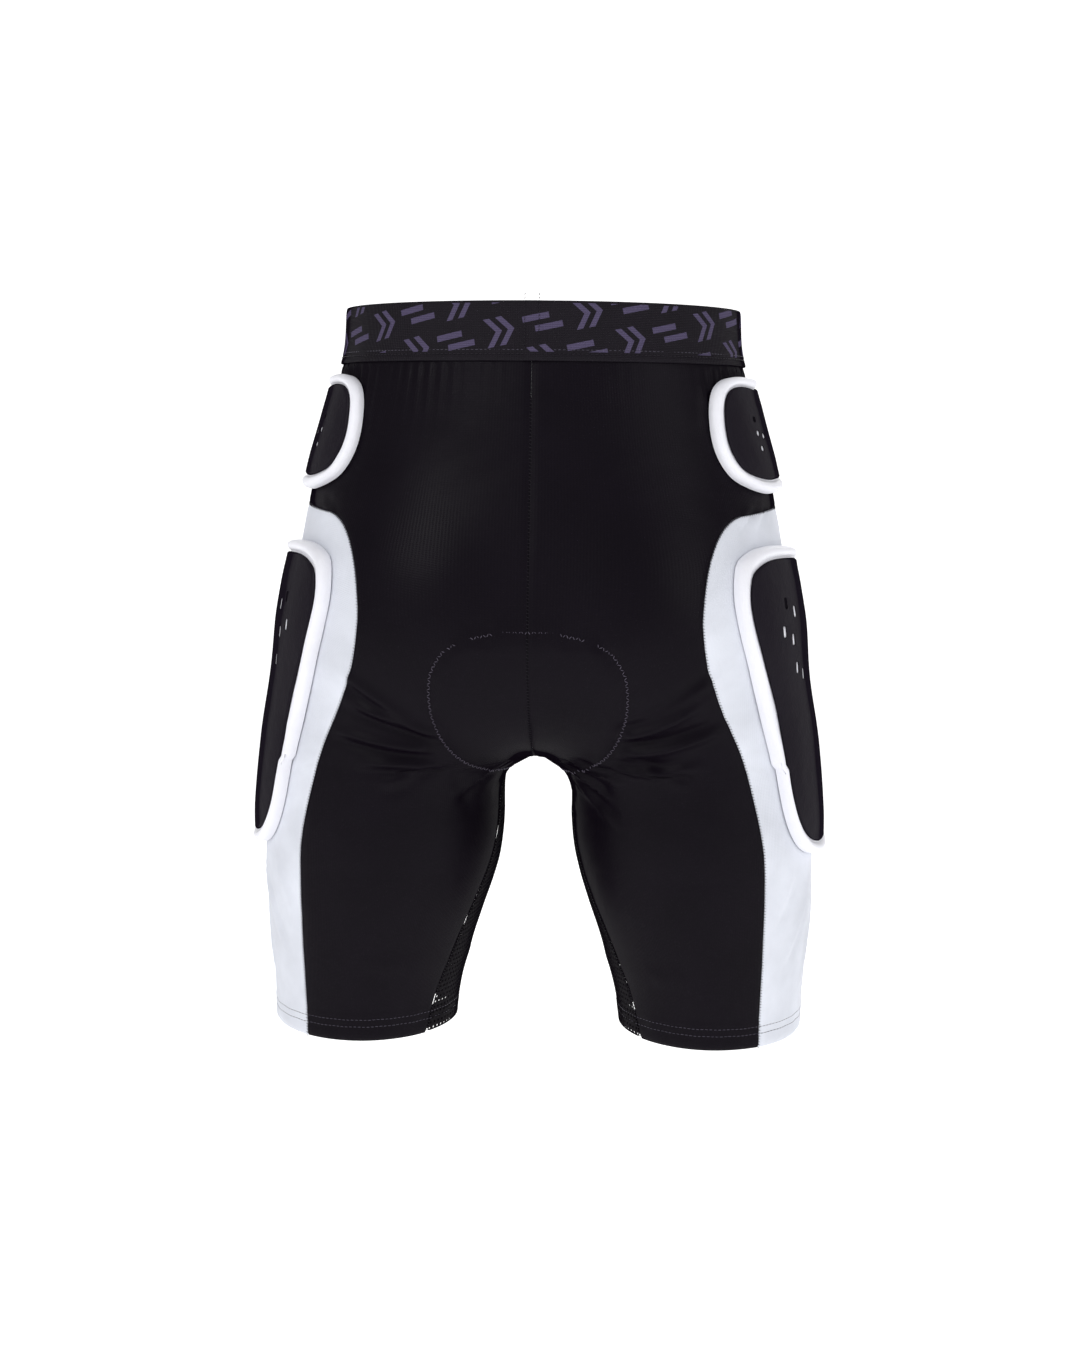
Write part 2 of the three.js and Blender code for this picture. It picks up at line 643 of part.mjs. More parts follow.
add("seat_pad_base", bothHalves(seatCells(() => [baseTop - SEAT_PAD_BASE, baseTop])), BLACK_COVER);
addPair("seat_pad_foam", layer(seatCells(
  (row, column) => [foamTop - foamAt(row, column), foamTop], LOBE.rows, LOBE.shares)), GREY_FOAM);
add("seat_pad_cover", bothHalves(seatCells((row, column) => {
  const top = foamTop - (inLobe(row, column) ? foamAt(row, column) + LAYER_GAP : 0);
  return [top - SEAT_PAD_COVER, top];
})), BLACK_COVER);

// ---------------------------------------------------------------- care label inside the back

const [labelWidth, labelHeight, labelThickness] = LABEL_SIZE;
const labelRows = steps(0, labelHeight, 2).map((down) =>
  steps(-labelWidth / 2, labelWidth / 2, 4).map((x) => {
    const p = ontoForm(new THREE.Vector3(x, -WAIST_DEPTH / 2, -BAND_HEIGHT + 4 - down));
    return corner(p, -FABRIC - LAYER_GAP - labelThickness, -FABRIC - LAYER_GAP);
  }));
add("care_label", layer(cellsBetween(labelRows)), LABEL_CLOTH);

export default group;
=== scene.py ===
"""Padded impact shorts: stretch-knit panels on a body form, woven waistband, moulded pads and a seat pad.

Sizes in the classes are millimetres, as a maker would state them. Meshes are in metres, in the frame of
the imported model: +Z up, +Y towards the wearer's front, the wearer's left at -X, and the waist opening's
centre at zero.
"""

import logging
import math
from dataclasses import dataclass, field
from enum import Enum
from typing import Callable, Optional, Sequence

import bmesh
import bpy
import numpy as np
from mathutils import Matrix, Vector
from mathutils.kdtree import KDTree


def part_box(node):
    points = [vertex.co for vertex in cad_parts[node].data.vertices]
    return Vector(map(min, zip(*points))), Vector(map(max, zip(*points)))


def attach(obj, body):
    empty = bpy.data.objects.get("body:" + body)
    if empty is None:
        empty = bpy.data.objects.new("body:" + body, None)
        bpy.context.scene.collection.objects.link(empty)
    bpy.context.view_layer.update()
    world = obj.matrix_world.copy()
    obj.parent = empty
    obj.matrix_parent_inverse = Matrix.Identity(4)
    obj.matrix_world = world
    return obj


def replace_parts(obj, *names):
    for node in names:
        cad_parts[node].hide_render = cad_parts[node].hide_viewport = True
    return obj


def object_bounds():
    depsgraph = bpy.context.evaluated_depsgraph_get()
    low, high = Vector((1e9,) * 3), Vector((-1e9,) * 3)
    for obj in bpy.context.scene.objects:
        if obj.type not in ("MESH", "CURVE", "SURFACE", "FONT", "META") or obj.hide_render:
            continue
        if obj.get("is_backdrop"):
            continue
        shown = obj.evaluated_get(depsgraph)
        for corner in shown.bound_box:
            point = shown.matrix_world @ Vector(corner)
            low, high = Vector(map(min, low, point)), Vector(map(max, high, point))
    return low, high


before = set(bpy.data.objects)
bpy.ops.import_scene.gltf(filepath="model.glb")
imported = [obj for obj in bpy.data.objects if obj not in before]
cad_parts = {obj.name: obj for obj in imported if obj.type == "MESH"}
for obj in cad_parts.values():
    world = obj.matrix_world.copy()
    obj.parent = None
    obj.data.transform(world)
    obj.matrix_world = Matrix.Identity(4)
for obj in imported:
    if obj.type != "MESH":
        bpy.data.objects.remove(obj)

LOG = logging.getLogger("shorts")
MM = 0.001
Array = np.ndarray


class Half(Enum):
    """Which side of the wearer a piece is on, as the sign of X."""

    RIGHT = 1
    LEFT = -1

    @property
    def suffix(self) -> str:
        """The ending of the CAD node's name."""
        return "right" if self is Half.RIGHT else "left"


class Repeat(Enum):
    """What is laid along a seam or over a face."""

    THREAD = "thread"
    PLUG = "plug"


# ------------------------------------------------------------------ nodes, colours and meshes


def linear(hex_colour: str) -> tuple[float, float, float, float]:
    """Turns an sRGB colour into the linear one that shaders use.

    Args:
        hex_colour: six hexadecimal digits.

    Returns:
        Red, green, blue and alpha.
    """
    parts = [int(hex_colour[i : i + 2], 16) / 255 for i in (0, 2, 4)]
    turned = [c / 12.92 if c <= 0.04045 else ((c + 0.055) / 1.055) ** 2.4 for c in parts]
    return (*turned, 1.0)


def add(tree: bpy.types.NodeTree, kind: str, inputs: Optional[dict] = None, **settings) -> bpy.types.Node:
    """Adds one node with its settings, and its inputs' values or links.

    Args:
        tree: the node tree.
        kind: the node's type name.
        inputs: socket name or number to a value, a socket or a node, whose first output is meant.
        **settings: the node's own properties.

    Returns:
        The new node.
    """
    made = tree.nodes.new(kind)
    for key, value in settings.items():
        setattr(made, key, value)
    for key, value in (inputs or {}).items():
        source = value.outputs[0] if isinstance(value, bpy.types.Node) else value
        if isinstance(source, bpy.types.NodeSocket):
            tree.links.new(source, made.inputs[key])
        else:
            made.inputs[key].default_value = source
    return made


def new_mesh(name: str, points: Array, faces: Sequence[Sequence[int]], uv: Optional[Array] = None,
             wrap: float = 0.0) -> bpy.types.Mesh:
    """Makes a smooth-shaded mesh.

    Args:
        name: the mesh's name.
        points: its vertices in millimetres.
        faces: the vertex numbers of each face.
        uv: each vertex's place on the cloth in millimetres.
        wrap: the length after which the first UV direction starts again, on a closed loop.

    Returns:
        The mesh, in metres, with its cloth coordinates in metres too.
    """
    mesh = bpy.data.meshes.new(name)
    mesh.from_pydata((points * MM).tolist(), [], [list(map(int, f)) for f in faces])
    if uv is not None:
        layer = mesh.uv_layers.new(name="cloth")
        corner = np.empty(len(mesh.loops), "i")
        mesh.loops.foreach_get("vertex_index", corner)
        values = uv[corner].astype(float)
        if wrap:
            along = values[:, 0].reshape(-1, 4)
            along[(along < 0) & (np.ptp(along, axis=1, keepdims=True) > wrap / 2)] += wrap
        layer.data.foreach_set("uv", (values * MM).ravel())
    mesh.shade_smooth()
    mesh.set_sharp_from_angle(angle=math.radians(55))
    return mesh


def new_object(mesh: bpy.types.Mesh, material: bpy.types.Material, body: str = "root") -> bpy.types.Object:
    """Puts a mesh in the scene with its material, riding on a body."""
    made = bpy.data.objects.new(mesh.name, mesh)
    bpy.context.scene.collection.objects.link(made)
    mesh.materials.clear()
    mesh.materials.append(material)
    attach(made, body)
    return made


def baked(source: bpy.types.Object, name: str, material: bpy.types.Material) -> bpy.types.Object:
    """Turns an object and its modifiers into a plain mesh, and takes the object's place.

    Args:
        source: the object, which is removed.
        name: the new object's name.
        material: its finish.

    Returns:
        The plain object.
    """
    bpy.context.view_layer.update()
    evaluated = source.evaluated_get(bpy.context.evaluated_depsgraph_get())
    mesh = bpy.data.meshes.new_from_object(evaluated)
    bpy.data.objects.remove(source)
    mesh.name = name
    return new_object(mesh, material)


def boundary(faces: Sequence[Sequence[int]]) -> list[tuple[int, int]]:
    """The directed edges that only one face uses."""
    used = {(f[i], f[(i + 1) % len(f)]) for f in faces for i in range(len(f))}
    return [(a, b) for a, b in used if (b, a) not in used]


@dataclass
class Patch:
    """Part of the body form: places, outward directions, faces and each place's coordinates on the cloth."""

    points: Array
    normals: Array
    faces: list
    uv: Array

    def mirrored(self, half: Half) -> "Patch":
        """The same patch on the given side of the wearer."""
        if half is Half.RIGHT:
            return self
        flip = np.array([-1.0, 1.0, 1.0])
        return Patch(self.points * flip, self.normals * flip, [f[::-1] for f in self.faces],
                     self.uv * [-1, 1])

    def edge_distance(self) -> Array:
        """How far each place is from the patch's edge, in millimetres."""
        rim = sorted({i for edge in boundary(self.faces) for i in edge})
        tree = KDTree(len(rim))
        for k, i in enumerate(rim):
            tree.insert(self.points[i], k)
        tree.balance()
        return np.array([tree.find(p)[2] for p in self.points])

    def solid(self, low: Array, high: Array) -> tuple[Array, list]:
        """A closed layer between two heights over the patch.

        Args:
            low: the inner face's height at each place.
            high: the outer face's.

        Returns:
            Vertices and faces.
        """
        count = len(self.points)
        points = np.concatenate([self.points + self.normals * high[:, None],
                                 self.points + self.normals * low[:, None]])
        faces = [*self.faces, *([i + count for i in f[::-1]] for f in self.faces)]
        faces += [[b, a, a + count, b + count] for a, b in boundary(self.faces)]
        return points, faces

    def area(self) -> float:
        """The patch's area in square metres."""
        corners = self.points[np.array([[f[0], f[1], f[2], f[-1]] for f in self.faces])]
        across, along = corners[:, 2] - corners[:, 0], corners[:, 3] - corners[:, 1]
        return float(np.linalg.norm(np.cross(across, along), axis=1).sum()) / 2 * 1e-6


# ------------------------------------------------------------------ the body form


class Profile:
    """A smooth curve through (level, value) stations that are listed downwards, flat beyond its ends."""

    def __init__(self, *stations: tuple[float, float]) -> None:
        """Keeps the stations."""
        self.levels, self.values = np.array(stations, float).T

    def __call__(self, z: Array) -> Array:
        """The curve's value at each level."""
        z = np.clip(z, self.levels[-1], self.levels[0])
        i = np.clip(np.searchsorted(-self.levels, -z, side="right") - 1, 0, len(self.levels) - 2)
        t = (z - self.levels[i]) / (self.levels[i + 1] - self.levels[i])
        v = self.values
        p0, p1, p2, p3 = v[np.maximum(i - 1, 0)], v[i], v[i + 1], v[np.minimum(i + 2, len(v) - 1)]
        m1, m2 = (p2 - p0) / 2, (p3 - p1) / 2
        return (2 * p1 - 2 * p2 + m1 + m2) * t**3 + (3 * p2 - 3 * p1 - 2 * m1 - m2) * t**2 + m1 * t + p1


def smooth_min(a: Array, b: Array, radius: float) -> Array:
    """The smaller of two distances, blended where they are close."""
    h = np.maximum(radius - np.abs(a - b), 0) / radius
    return np.minimum(a, b) - h * h * radius / 4


def smoothstep(t: Array) -> Array:
    """A soft step from 0 to 1."""
    t = np.clip(t, 0, 1)
    return t * t * (3 - 2 * t)


def lerp(a, b, t):
    """The place a share of the way from a to b."""
    return a + (b - a) * t


@dataclass
class BodyForm:
    """The outer face of the knit as worn, by the same rule and sizes as the CAD panels."""

    rise: float = 304
    inseam: float = 196
    waist: tuple[float, float] = (268, 200)
    hips: tuple[float, float] = (342, 224)
    stance: float = 386
    thigh_gap: float = 49
    thigh_depth: float = 174
    hem_size: tuple[float, float] = (129, 132)
    hem_centre: float = 123
    waist_tilt: float = 1.5
    hem_tilt: float = 3.5
    rise_straight: float = 0.56

    def __post_init__(self) -> None:
        """Lays out the profiles from the sizes."""
        rise, waist, hips = self.rise, self.waist, self.hips
        self.crotch, self.hem = -rise, -(rise + self.inseam)
        self.seat, self.thigh = -0.68 * rise, self.crotch - 0.4 * self.inseam
        self.crotch_ring = rise / (rise + self.inseam)
        low = lerp(self.thigh, self.hem, 0.6)
        width, depth = self.hem_size
        self.half_width = Profile((0, waist[0] / 2), (-0.13 * rise, waist[0] / 2 + 5),
                                  (-0.45 * rise, lerp(waist[0], hips[0], 0.8) / 2), (self.seat, hips[0] / 2))
        self.back = Profile((0, waist[1] / 2), (-0.35 * rise, waist[1] / 2 + 10), (self.seat, hips[1] / 2))
        self.front = Profile((0, waist[1] / 2 - 2), (-0.3 * rise, waist[1] / 2 + 6),
                             (self.seat, hips[1] / 2 - 12))
        self.outer = Profile((self.seat, hips[0] / 2 + 2), (self.crotch, self.stance / 2 - 5),
                             (self.thigh, self.stance / 2), (low, self.hem_centre + width / 2 + 2),
                             (self.hem, self.hem_centre + width / 2))
        self.inner = Profile((self.seat, self.thigh_gap / 2), (self.crotch, self.thigh_gap / 2),
                             (self.thigh + 8, self.thigh_gap / 2 + 1.5),
                             (low, self.hem_centre - width / 2 - 9.5),
                             (self.hem, self.hem_centre - width / 2))
        self.leg_depth = Profile((self.crotch, self.thigh_depth / 2), (self.thigh, self.thigh_depth / 2 - 3),
                                 (self.hem, depth / 2))
        self.leg_y = Profile((self.crotch, -7), (self.thigh, -4), (self.hem, 4))

    def outside(self, p: Array) -> Array:
        """Roughly how far each place is outside the form: negative inside, zero on the knit's face."""
        x, y, z = p[:, 0], p[:, 1], p[:, 2]
        middle, reach = (self.outer(z) + self.inner(z)) / 2, (self.outer(z) - self.inner(z)) / 2
        above = np.maximum(z - lerp(self.seat, self.crotch, 0.7), 0) / 120
        along = (y - self.leg_y(z)) / self.leg_depth(z)
        legs = [(np.sqrt(((side * x - middle) / reach) ** 2 + along**2 + above**2) - 1) * 85
                for side in (1, -1)]
        depth = np.where(y < 0, self.back(z), self.front(z))
        below = np.maximum(self.seat - z, 0) / (self.seat - self.crotch - 6)
        torso = (np.sqrt((x / self.half_width(z)) ** 2 + (y / depth) ** 2 + below**2) - 1) * 120
        behind, over = ((y + 50) / 70) ** 2, ((z - self.seat + 4) / 92) ** 2
        lobes = [(np.sqrt(((side * x - 60) / 80) ** 2 + behind + over) - 1) * 70 for side in (1, -1)]
        seat = smooth_min(torso, smooth_min(lobes[0], lobes[1], 40), 40)
        return smooth_min(seat, smooth_min(legs[0], legs[1], 26), 34)

    def gradient(self, p: Array) -> Array:
        """The direction in which outside() grows, unscaled."""
        columns = []
        for k in range(3):
            step = np.zeros(3)
            step[k] = 0.01
            columns.append((self.outside(p + step) - self.outside(p - step)) / 0.02)
        return np.stack(columns, axis=1)

    def normals(self, p: Array) -> Array:
        """The outward direction at places on the form."""
        g = self.gradient(p)
        return g / np.linalg.norm(g, axis=1, keepdims=True)

    def settle(self, p: Array) -> Array:
        """Moves places onto the form."""
        p = np.array(p, float)
        for _ in range(9):
            g = self.gradient(p)
            p -= g * (self.outside(p) / (g * g).sum(axis=1))[:, None]
        return p

    def under_turn(self, s: Array) -> Array:
        """How far round the rounded underside each ring starts, in radians."""
        t = np.minimum(s / self.crotch_ring, 1)
        return np.maximum(t - self.rise_straight, 0) / (1 - self.rise_straight) * math.pi / 2

    def rise_level(self, s: Array) -> Array:
        """The level at which each ring meets the rise seam."""
        t = s / self.crotch_ring
        round_part = self.seat - (self.seat - self.crotch) * np.sin(self.under_turn(s))
        share = t / self.rise_straight
        straight = self.crotch * t + (self.seat - self.crotch * self.rise_straight) * share**3
        return np.where(t < self.rise_straight, straight, round_part)

    def rise_ring(self, level: float) -> float:
        """The ring that meets the rise seam at a level of the underside."""
        turn = math.asin((self.seat - level) / (self.seat - self.crotch)) / (math.pi / 2)
        return self.crotch_ring * lerp(self.rise_straight, 1, turn)

    def place(self, u: Array, s: Array) -> Array:
        """Places on the right half of the form.

        Args:
            u: from the centre back or the inside leg (0), over the outer side (0.5), round to the front (1).
            s: from the waist (0) down to the hem (1).

        Returns:
            The places, in millimetres.
        """
        u, s = np.broadcast_arrays(np.asarray(u, float), np.asarray(s, float))
        u, s = u.ravel(), s.ravel()
        level, turn, closed_ring = s * self.hem, (u - 0.5) * 2, s > self.crotch_ring
        depth = np.where(turn < 0, self.back(level), self.front(level))
        open_x = self.half_width(level) * np.cos(turn * math.pi / 2)
        open_y = depth * np.sin(turn * math.pi / 2)
        inner, outer = np.where(closed_ring, self.inner(level), 0), self.outer(level)
        leg_x = (outer + inner) / 2 + (outer - inner) / 2 * np.cos(turn * math.pi)
        leg_y = (self.leg_y(level) * smoothstep(np.maximum(1 - np.abs(turn), 0))
                 + self.leg_depth(level) * np.sin(turn * math.pi))
        share = 1 - np.cos(self.under_turn(s))
        x, y = lerp(open_x, leg_x, share), lerp(open_y, leg_y, share)
        slope = lerp(-math.tan(math.radians(self.waist_tilt)), math.tan(math.radians(self.hem_tilt)), s)
        flat = level + slope * (y - np.where(closed_ring, self.leg_y(level), 0))
        bent = lerp(flat, self.rise_level(s) + slope * y, smoothstep(np.abs(turn)))
        p = self.settle(np.stack([x, y, np.where(s < self.crotch_ring, bent, flat)], axis=1))
        p[(s <= self.crotch_ring) & ((u == 0) | (u == 1)), 0] = 0
        return p

    def side_place(self, back: Array, level: Array) -> Array:
        """Places near the outer side of the right half.

        Args:
            back: millimetres behind the side line, along the cloth.
            level: the height.

        Returns:
            The places, in millimetres.
        """
        s = level / self.hem
        rings = np.linspace(s.min() - 0.01, s.max() + 0.01, 60)
        speed = np.linalg.norm(self.place(0.51, rings) - self.place(0.49, rings), axis=1) / 0.02
        return self.place(0.5 - back / np.interp(s, rings, speed), s)

    def rise_place(self, t: Array, x: Array) -> Array:
        """Places on the underside, t along the seat pad's length from the back (0) to the front (1)."""
        back, front = self.rise_ring(SeatPad.back_level), self.rise_ring(SeatPad.front_level)
        s = np.where(t < 0.5, lerp(back, self.crotch_ring, t * 2), lerp(front, self.crotch_ring, (1 - t) * 2))
        p = self.place(np.where(t < 0.5, 0.0, 1.0), s)
        p[:, 0] = x
        return self.settle(p)


# ------------------------------------------------------------------ finishes


@dataclass(frozen=True)
class Finish:
    """What every finish has: a name, its colour and how it shines."""

    name: str
    colour: str
    roughness: float = 0.6
    specular: float = 0.5
    sheen: float = 0.0
    sheen_colour: str = "ffffff"
    matt: bool = False  # loses its shine towards grazing angles, as matt black fibre does

    def start(self) -> tuple[bpy.types.Material, bpy.types.NodeTree, bpy.types.Node]:
        """A new material, its tree and its shader, with the settings that are the same all over."""
        material = bpy.data.materials.new(self.name)
        material.use_nodes = True
        tree = material.node_tree
        tree.nodes.clear()
        shader = add(tree, "ShaderNodeBsdfPrincipled", {
            "Base Color": linear(self.colour), "Roughness": self.roughness,
            "Specular IOR Level": self.specular,
            "Sheen Weight": self.sheen, "Sheen Roughness": 0.45, "Sheen Tint": linear(self.sheen_colour)})
        add(tree, "ShaderNodeOutputMaterial", {"Surface": shader})
        if self.matt:
            facing = add(tree, "ShaderNodeLayerWeight", {"Blend": 0.5}).outputs["Facing"]
            shine = add(tree, "ShaderNodeMapRange", {"Value": facing, "From Min": 0.15, "From Max": 0.75,
                                                     "To Min": self.specular, "To Max": 0.0})
            tree.links.new(shine.outputs[0], shader.inputs["Specular IOR Level"])
        return material, tree, shader

    def build(self) -> bpy.types.Material:
        """The finished material."""
        material, tree, shader = self.start()
        self.dress(tree, shader)
        return material

    def dress(self, tree: bpy.types.NodeTree, shader: bpy.types.Node) -> None:
        """Adds the colour variation and relief of the real material."""

    def varied(self, tree: bpy.types.NodeTree, where: bpy.types.NodeSocket, size: float,
               spread: float) -> bpy.types.Node:
        """The finish's colour, a little lighter and darker in soft patches.

        Args:
            tree: the material's tree.
            where: the coordinates.
            size: the patches' size in millimetres.
            spread: how much lighter and darker.

        Returns:
            The node whose first output is the colour.
        """
        patches = add(tree, "ShaderNodeTexNoise", {"Vector": where, "Scale": 1 / (size * MM), "Detail": 4.0})
        value = add(tree, "ShaderNodeMapRange", {"Value": patches.outputs[0], "From Min": 0.3,
                                                 "From Max": 0.7,
                                                 "To Min": 1 - spread, "To Max": 1 + spread})
        return add(tree, "ShaderNodeHueSaturation", {"Value": value.outputs[0], "Color": linear(self.colour)})


def ribs(tree: bpy.types.NodeTree, where: bpy.types.NodeSocket, spacing: float, direction: str,
         wander: float) -> bpy.types.Node:
    """Parallel threads as a height.

    Args:
        tree: the material's tree.
        where: the coordinates.
        spacing: millimetres from thread to thread.
        direction: the axis that the threads follow one another along.
        wander: how unevenly they run.

    Returns:
        A wave texture, whose second output is the height.
    """
    # A wave texture makes one band for each pi / 10 of its scaled coordinate.
    return add(tree, "ShaderNodeTexWave", {"Vector": where, "Scale": math.pi / 10 / (spacing * MM),
                                           "Distortion": wander, "Detail": 1.0}, bands_direction=direction)


@dataclass(frozen=True)
class StretchKnit(Finish):
    """Warp-knit polyester and elastane, satin side out: fine upright wales."""

    wale: float = 1.3  # the real wales are 0.5 mm apart, which is too fine to show
    course: float = 1.0
    relief: float = 0.12

    def dress(self, tree: bpy.types.NodeTree, shader: bpy.types.Node) -> None:
        """Wales and courses in the height, with soft patches in the colour."""
        cloth = add(tree, "ShaderNodeTexCoord").outputs["UV"]
        wales = ribs(tree, cloth, self.wale, "X", 0.6)
        courses = ribs(tree, cloth, self.course, "Y", 0.9)
        nap = add(tree, "ShaderNodeTexNoise", {"Vector": cloth, "Scale": 1 / (2.2 * MM), "Detail": 3.0})
        both = add(tree, "ShaderNodeMath", {0: wales.outputs[1], 1: courses.outputs[1]}, operation="MULTIPLY")
        height = add(tree, "ShaderNodeMath", {0: nap.outputs[0], 1: 0.8, 2: both.outputs[0]},
                     operation="MULTIPLY_ADD")
        bump = add(tree, "ShaderNodeBump", {"Height": height.outputs[0], "Strength": 0.7,
                                            "Distance": self.relief * MM})
        tree.links.new(bump.outputs[0], shader.inputs["Normal"])
        tree.links.new(self.varied(tree, cloth, 45, 0.1).outputs[0], shader.inputs["Base Color"])
        worn = add(tree, "ShaderNodeMapRange", {"Value": both.outputs[0], "To Min": self.roughness - 0.05,
                                                "To Max": self.roughness + 0.08})
        tree.links.new(worn.outputs[0], shader.inputs["Roughness"])


@dataclass(frozen=True)
class JacquardElastic(Finish):
    """Woven elastic: cross ribs from the rubber cores, with bars and chevrons woven in."""

    motif: str = "524a66"
    rows: float = 23.0  # millimetres from row to row
    repeat: float = 58.0  # millimetres along a row
    slant: float = 12.0  # degrees that the rows rise

    def dress(self, tree: bpy.types.NodeTree, shader: bpy.types.Node) -> None:
        """The weave as height, and the motif as colour."""

        def maths(operation: str, *values) -> bpy.types.Node:
            """One step of arithmetic."""
            return add(tree, "ShaderNodeMath", dict(enumerate(values)), operation=operation)

        cloth = add(tree, "ShaderNodeTexCoord").outputs["UV"]
        cords = ribs(tree, cloth, 1.5, "X", 0.15)
        picks = ribs(tree, cloth, 1.1, "Y", 0.25)
        turned = add(tree, "ShaderNodeMapping", {"Vector": cloth,
                                                 "Rotation": (0, 0, math.radians(-self.slant)),
                                                 "Location": (0.004, 0.0035, 0)})
        xyz = add(tree, "ShaderNodeSeparateXYZ", {0: turned})
        v = maths("DIVIDE", xyz.outputs[1], self.rows * MM)
        row = maths("FLOOR", v)
        across = maths("FRACT", v)
        along = maths("FRACT", maths("MULTIPLY_ADD", row, 0.42,
                                     maths("DIVIDE", xyz.outputs[0], self.repeat * MM)))
        bent = maths("ABSOLUTE", maths("SUBTRACT", across, 0.5))
        # Two slanted chevrons and two staggered dashes make up each repeat.
        point = maths("MULTIPLY_ADD", bent, -2.0, 1.0)
        strokes = None
        for middle in (0.07, 0.21):
            line = maths("ABSOLUTE", maths("SUBTRACT", maths("MULTIPLY_ADD", point, -0.15, along), middle))
            stroke = maths("LESS_THAN", line, 0.036)
            strokes = maths("MAXIMUM", strokes, stroke) if strokes else stroke
        for middle, start, end in ((0.67, 0.5, 0.8), (0.36, 0.62, 0.93)):
            near = maths("LESS_THAN", maths("ABSOLUTE", maths("SUBTRACT", across, middle)), 0.085)
            after = maths("MULTIPLY", maths("GREATER_THAN", along, start), maths("LESS_THAN", along, end))
            strokes = maths("MAXIMUM", strokes, maths("MULTIPLY", near, after))
        inside = maths("LESS_THAN", bent, 0.4)
        level = add(tree, "ShaderNodeSeparateXYZ", {0: cloth}).outputs[1]
        clear = maths("MULTIPLY", maths("GREATER_THAN", level, -0.0325), maths("LESS_THAN", level, -0.0015))
        shown = maths("MULTIPLY", maths("MULTIPLY", strokes, inside), clear)
        thread = maths("MULTIPLY", shown, maths("MULTIPLY_ADD", picks.outputs[1], 0.5, 0.62))
        ground = self.varied(tree, cloth, 20, 0.12)
        colour = add(tree, "ShaderNodeMix", {0: thread, 6: ground, 7: linear(self.motif)}, data_type="RGBA")
        height = maths("MULTIPLY_ADD", cords.outputs[1], 0.8,
                       maths("MULTIPLY_ADD", shown, 0.9, picks.outputs[1]))
        bump = add(tree, "ShaderNodeBump", {"Height": height, "Strength": 0.8, "Distance": 0.25 * MM})
        tree.links.new(colour.outputs[2], shader.inputs["Base Color"])
        tree.links.new(bump.outputs[0], shader.inputs["Normal"])


@dataclass(frozen=True)
class MouldedFoam(Finish):
    """Closed-cell EVA foam, compression moulded: a smooth matt skin with fine pores and shallow dents."""

    pore: float = 0.9
    dent: float = 9.0
    relief: float = 0.22

    def dress(self, tree: bpy.types.NodeTree, shader: bpy.types.Node) -> None:
        """Pores and dents as height."""
        place = add(tree, "ShaderNodeTexCoord").outputs["Object"]
        pores = add(tree, "ShaderNodeTexVoronoi", {"Vector": place, "Scale": 1 / (self.pore * MM)})
        dents = add(tree, "ShaderNodeTexNoise", {"Vector": place, "Scale": 1 / (self.dent * MM),
                                                 "Detail": 2.0})
        height = add(tree, "ShaderNodeMath", {0: dents.outputs[0], 1: 3.0, 2: pores.outputs[0]},
                     operation="MULTIPLY_ADD")
        bump = add(tree, "ShaderNodeBump", {"Height": height, "Strength": 0.6, "Distance": self.relief * MM})
        tree.links.new(bump.outputs[0], shader.inputs["Normal"])
        tree.links.new(self.varied(tree, place, 30, 0.03).outputs[0], shader.inputs["Base Color"])


@dataclass(frozen=True)
class BrushedCloth(Finish):
    """Brushed knit cloth: no shine, a short uneven nap."""

    nap: float = 1.6

    def dress(self, tree: bpy.types.NodeTree, shader: bpy.types.Node) -> None:
        """The nap as height and as slight changes of colour."""
        place = add(tree, "ShaderNodeTexCoord").outputs["Object"]
        hairs = add(tree, "ShaderNodeTexNoise", {"Vector": place, "Scale": 1 / (self.nap * MM), "Detail": 5.0,
                                                 "Roughness": 0.7})
        bump = add(tree, "ShaderNodeBump", {"Height": hairs, "Strength": 0.8, "Distance": 0.3 * MM})
        tree.links.new(bump.outputs[0], shader.inputs["Normal"])
        tree.links.new(self.varied(tree, place, 6, 0.12).outputs[0], shader.inputs["Base Color"])


@dataclass(frozen=True)
class Thread(Finish):
    """Spun polyester thread: two plies twisted together."""

    def dress(self, tree: bpy.types.NodeTree, shader: bpy.types.Node) -> None:
        """Small changes of colour from stitch to stitch."""
        place = add(tree, "ShaderNodeTexCoord").outputs["Object"]
        tree.links.new(self.varied(tree, place, 3, 0.15).outputs[0], shader.inputs["Base Color"])


BLACK_KNIT = StretchKnit("black warp-knit jersey", "0f0b12", 0.4, 0.06, 0, matt=True)
WHITE_KNIT = StretchKnit("white warp-knit jersey", "d8dbe4", 0.65, 0.25, 0.03)
BLACK_MESH = StretchKnit("black perforated knit", "0f0c11", 0.5, 0.05, 0, matt=True)
BAND_ELASTIC = JacquardElastic("woven jacquard elastic", "151118", 0.55, 0.12, 0, matt=True)
WHITE_FOAM = MouldedFoam("white moulded EVA foam", "eeeef5", 0.45, 0.35)
BLACK_FACE = MouldedFoam("black knit-faced EVA plate", "19151d", 0.45, 0.08, 0, matt=True, pore=1.2,
                         relief=0.16)
SEAT_FOAM = MouldedFoam("grey open-cell foam", "4a4a52", 0.9, 0.2, pore=1.4, relief=0.5)
SEAT_CLOTH = BrushedCloth("brushed tricot", "1f1d24", 0.85, 0.2, 0.1, "c0b8cc")
LABEL_CLOTH = BrushedCloth("satin label tape", "d6d6d8", 0.45, 0.4, 0.05, nap=0.8)
DARK_THREAD = Thread("dark polyester thread", "1b171f", 0.5, 0.2, 0.03)
HEM_THREAD = Thread("charcoal polyester thread", "3f3b48", 0.5, 0.3, 0.05)
SEAT_THREAD = Thread("violet grey polyester thread", "4a4452", 0.45, 0.3, 0.05)


# ------------------------------------------------------------------ repeats, with geometry nodes


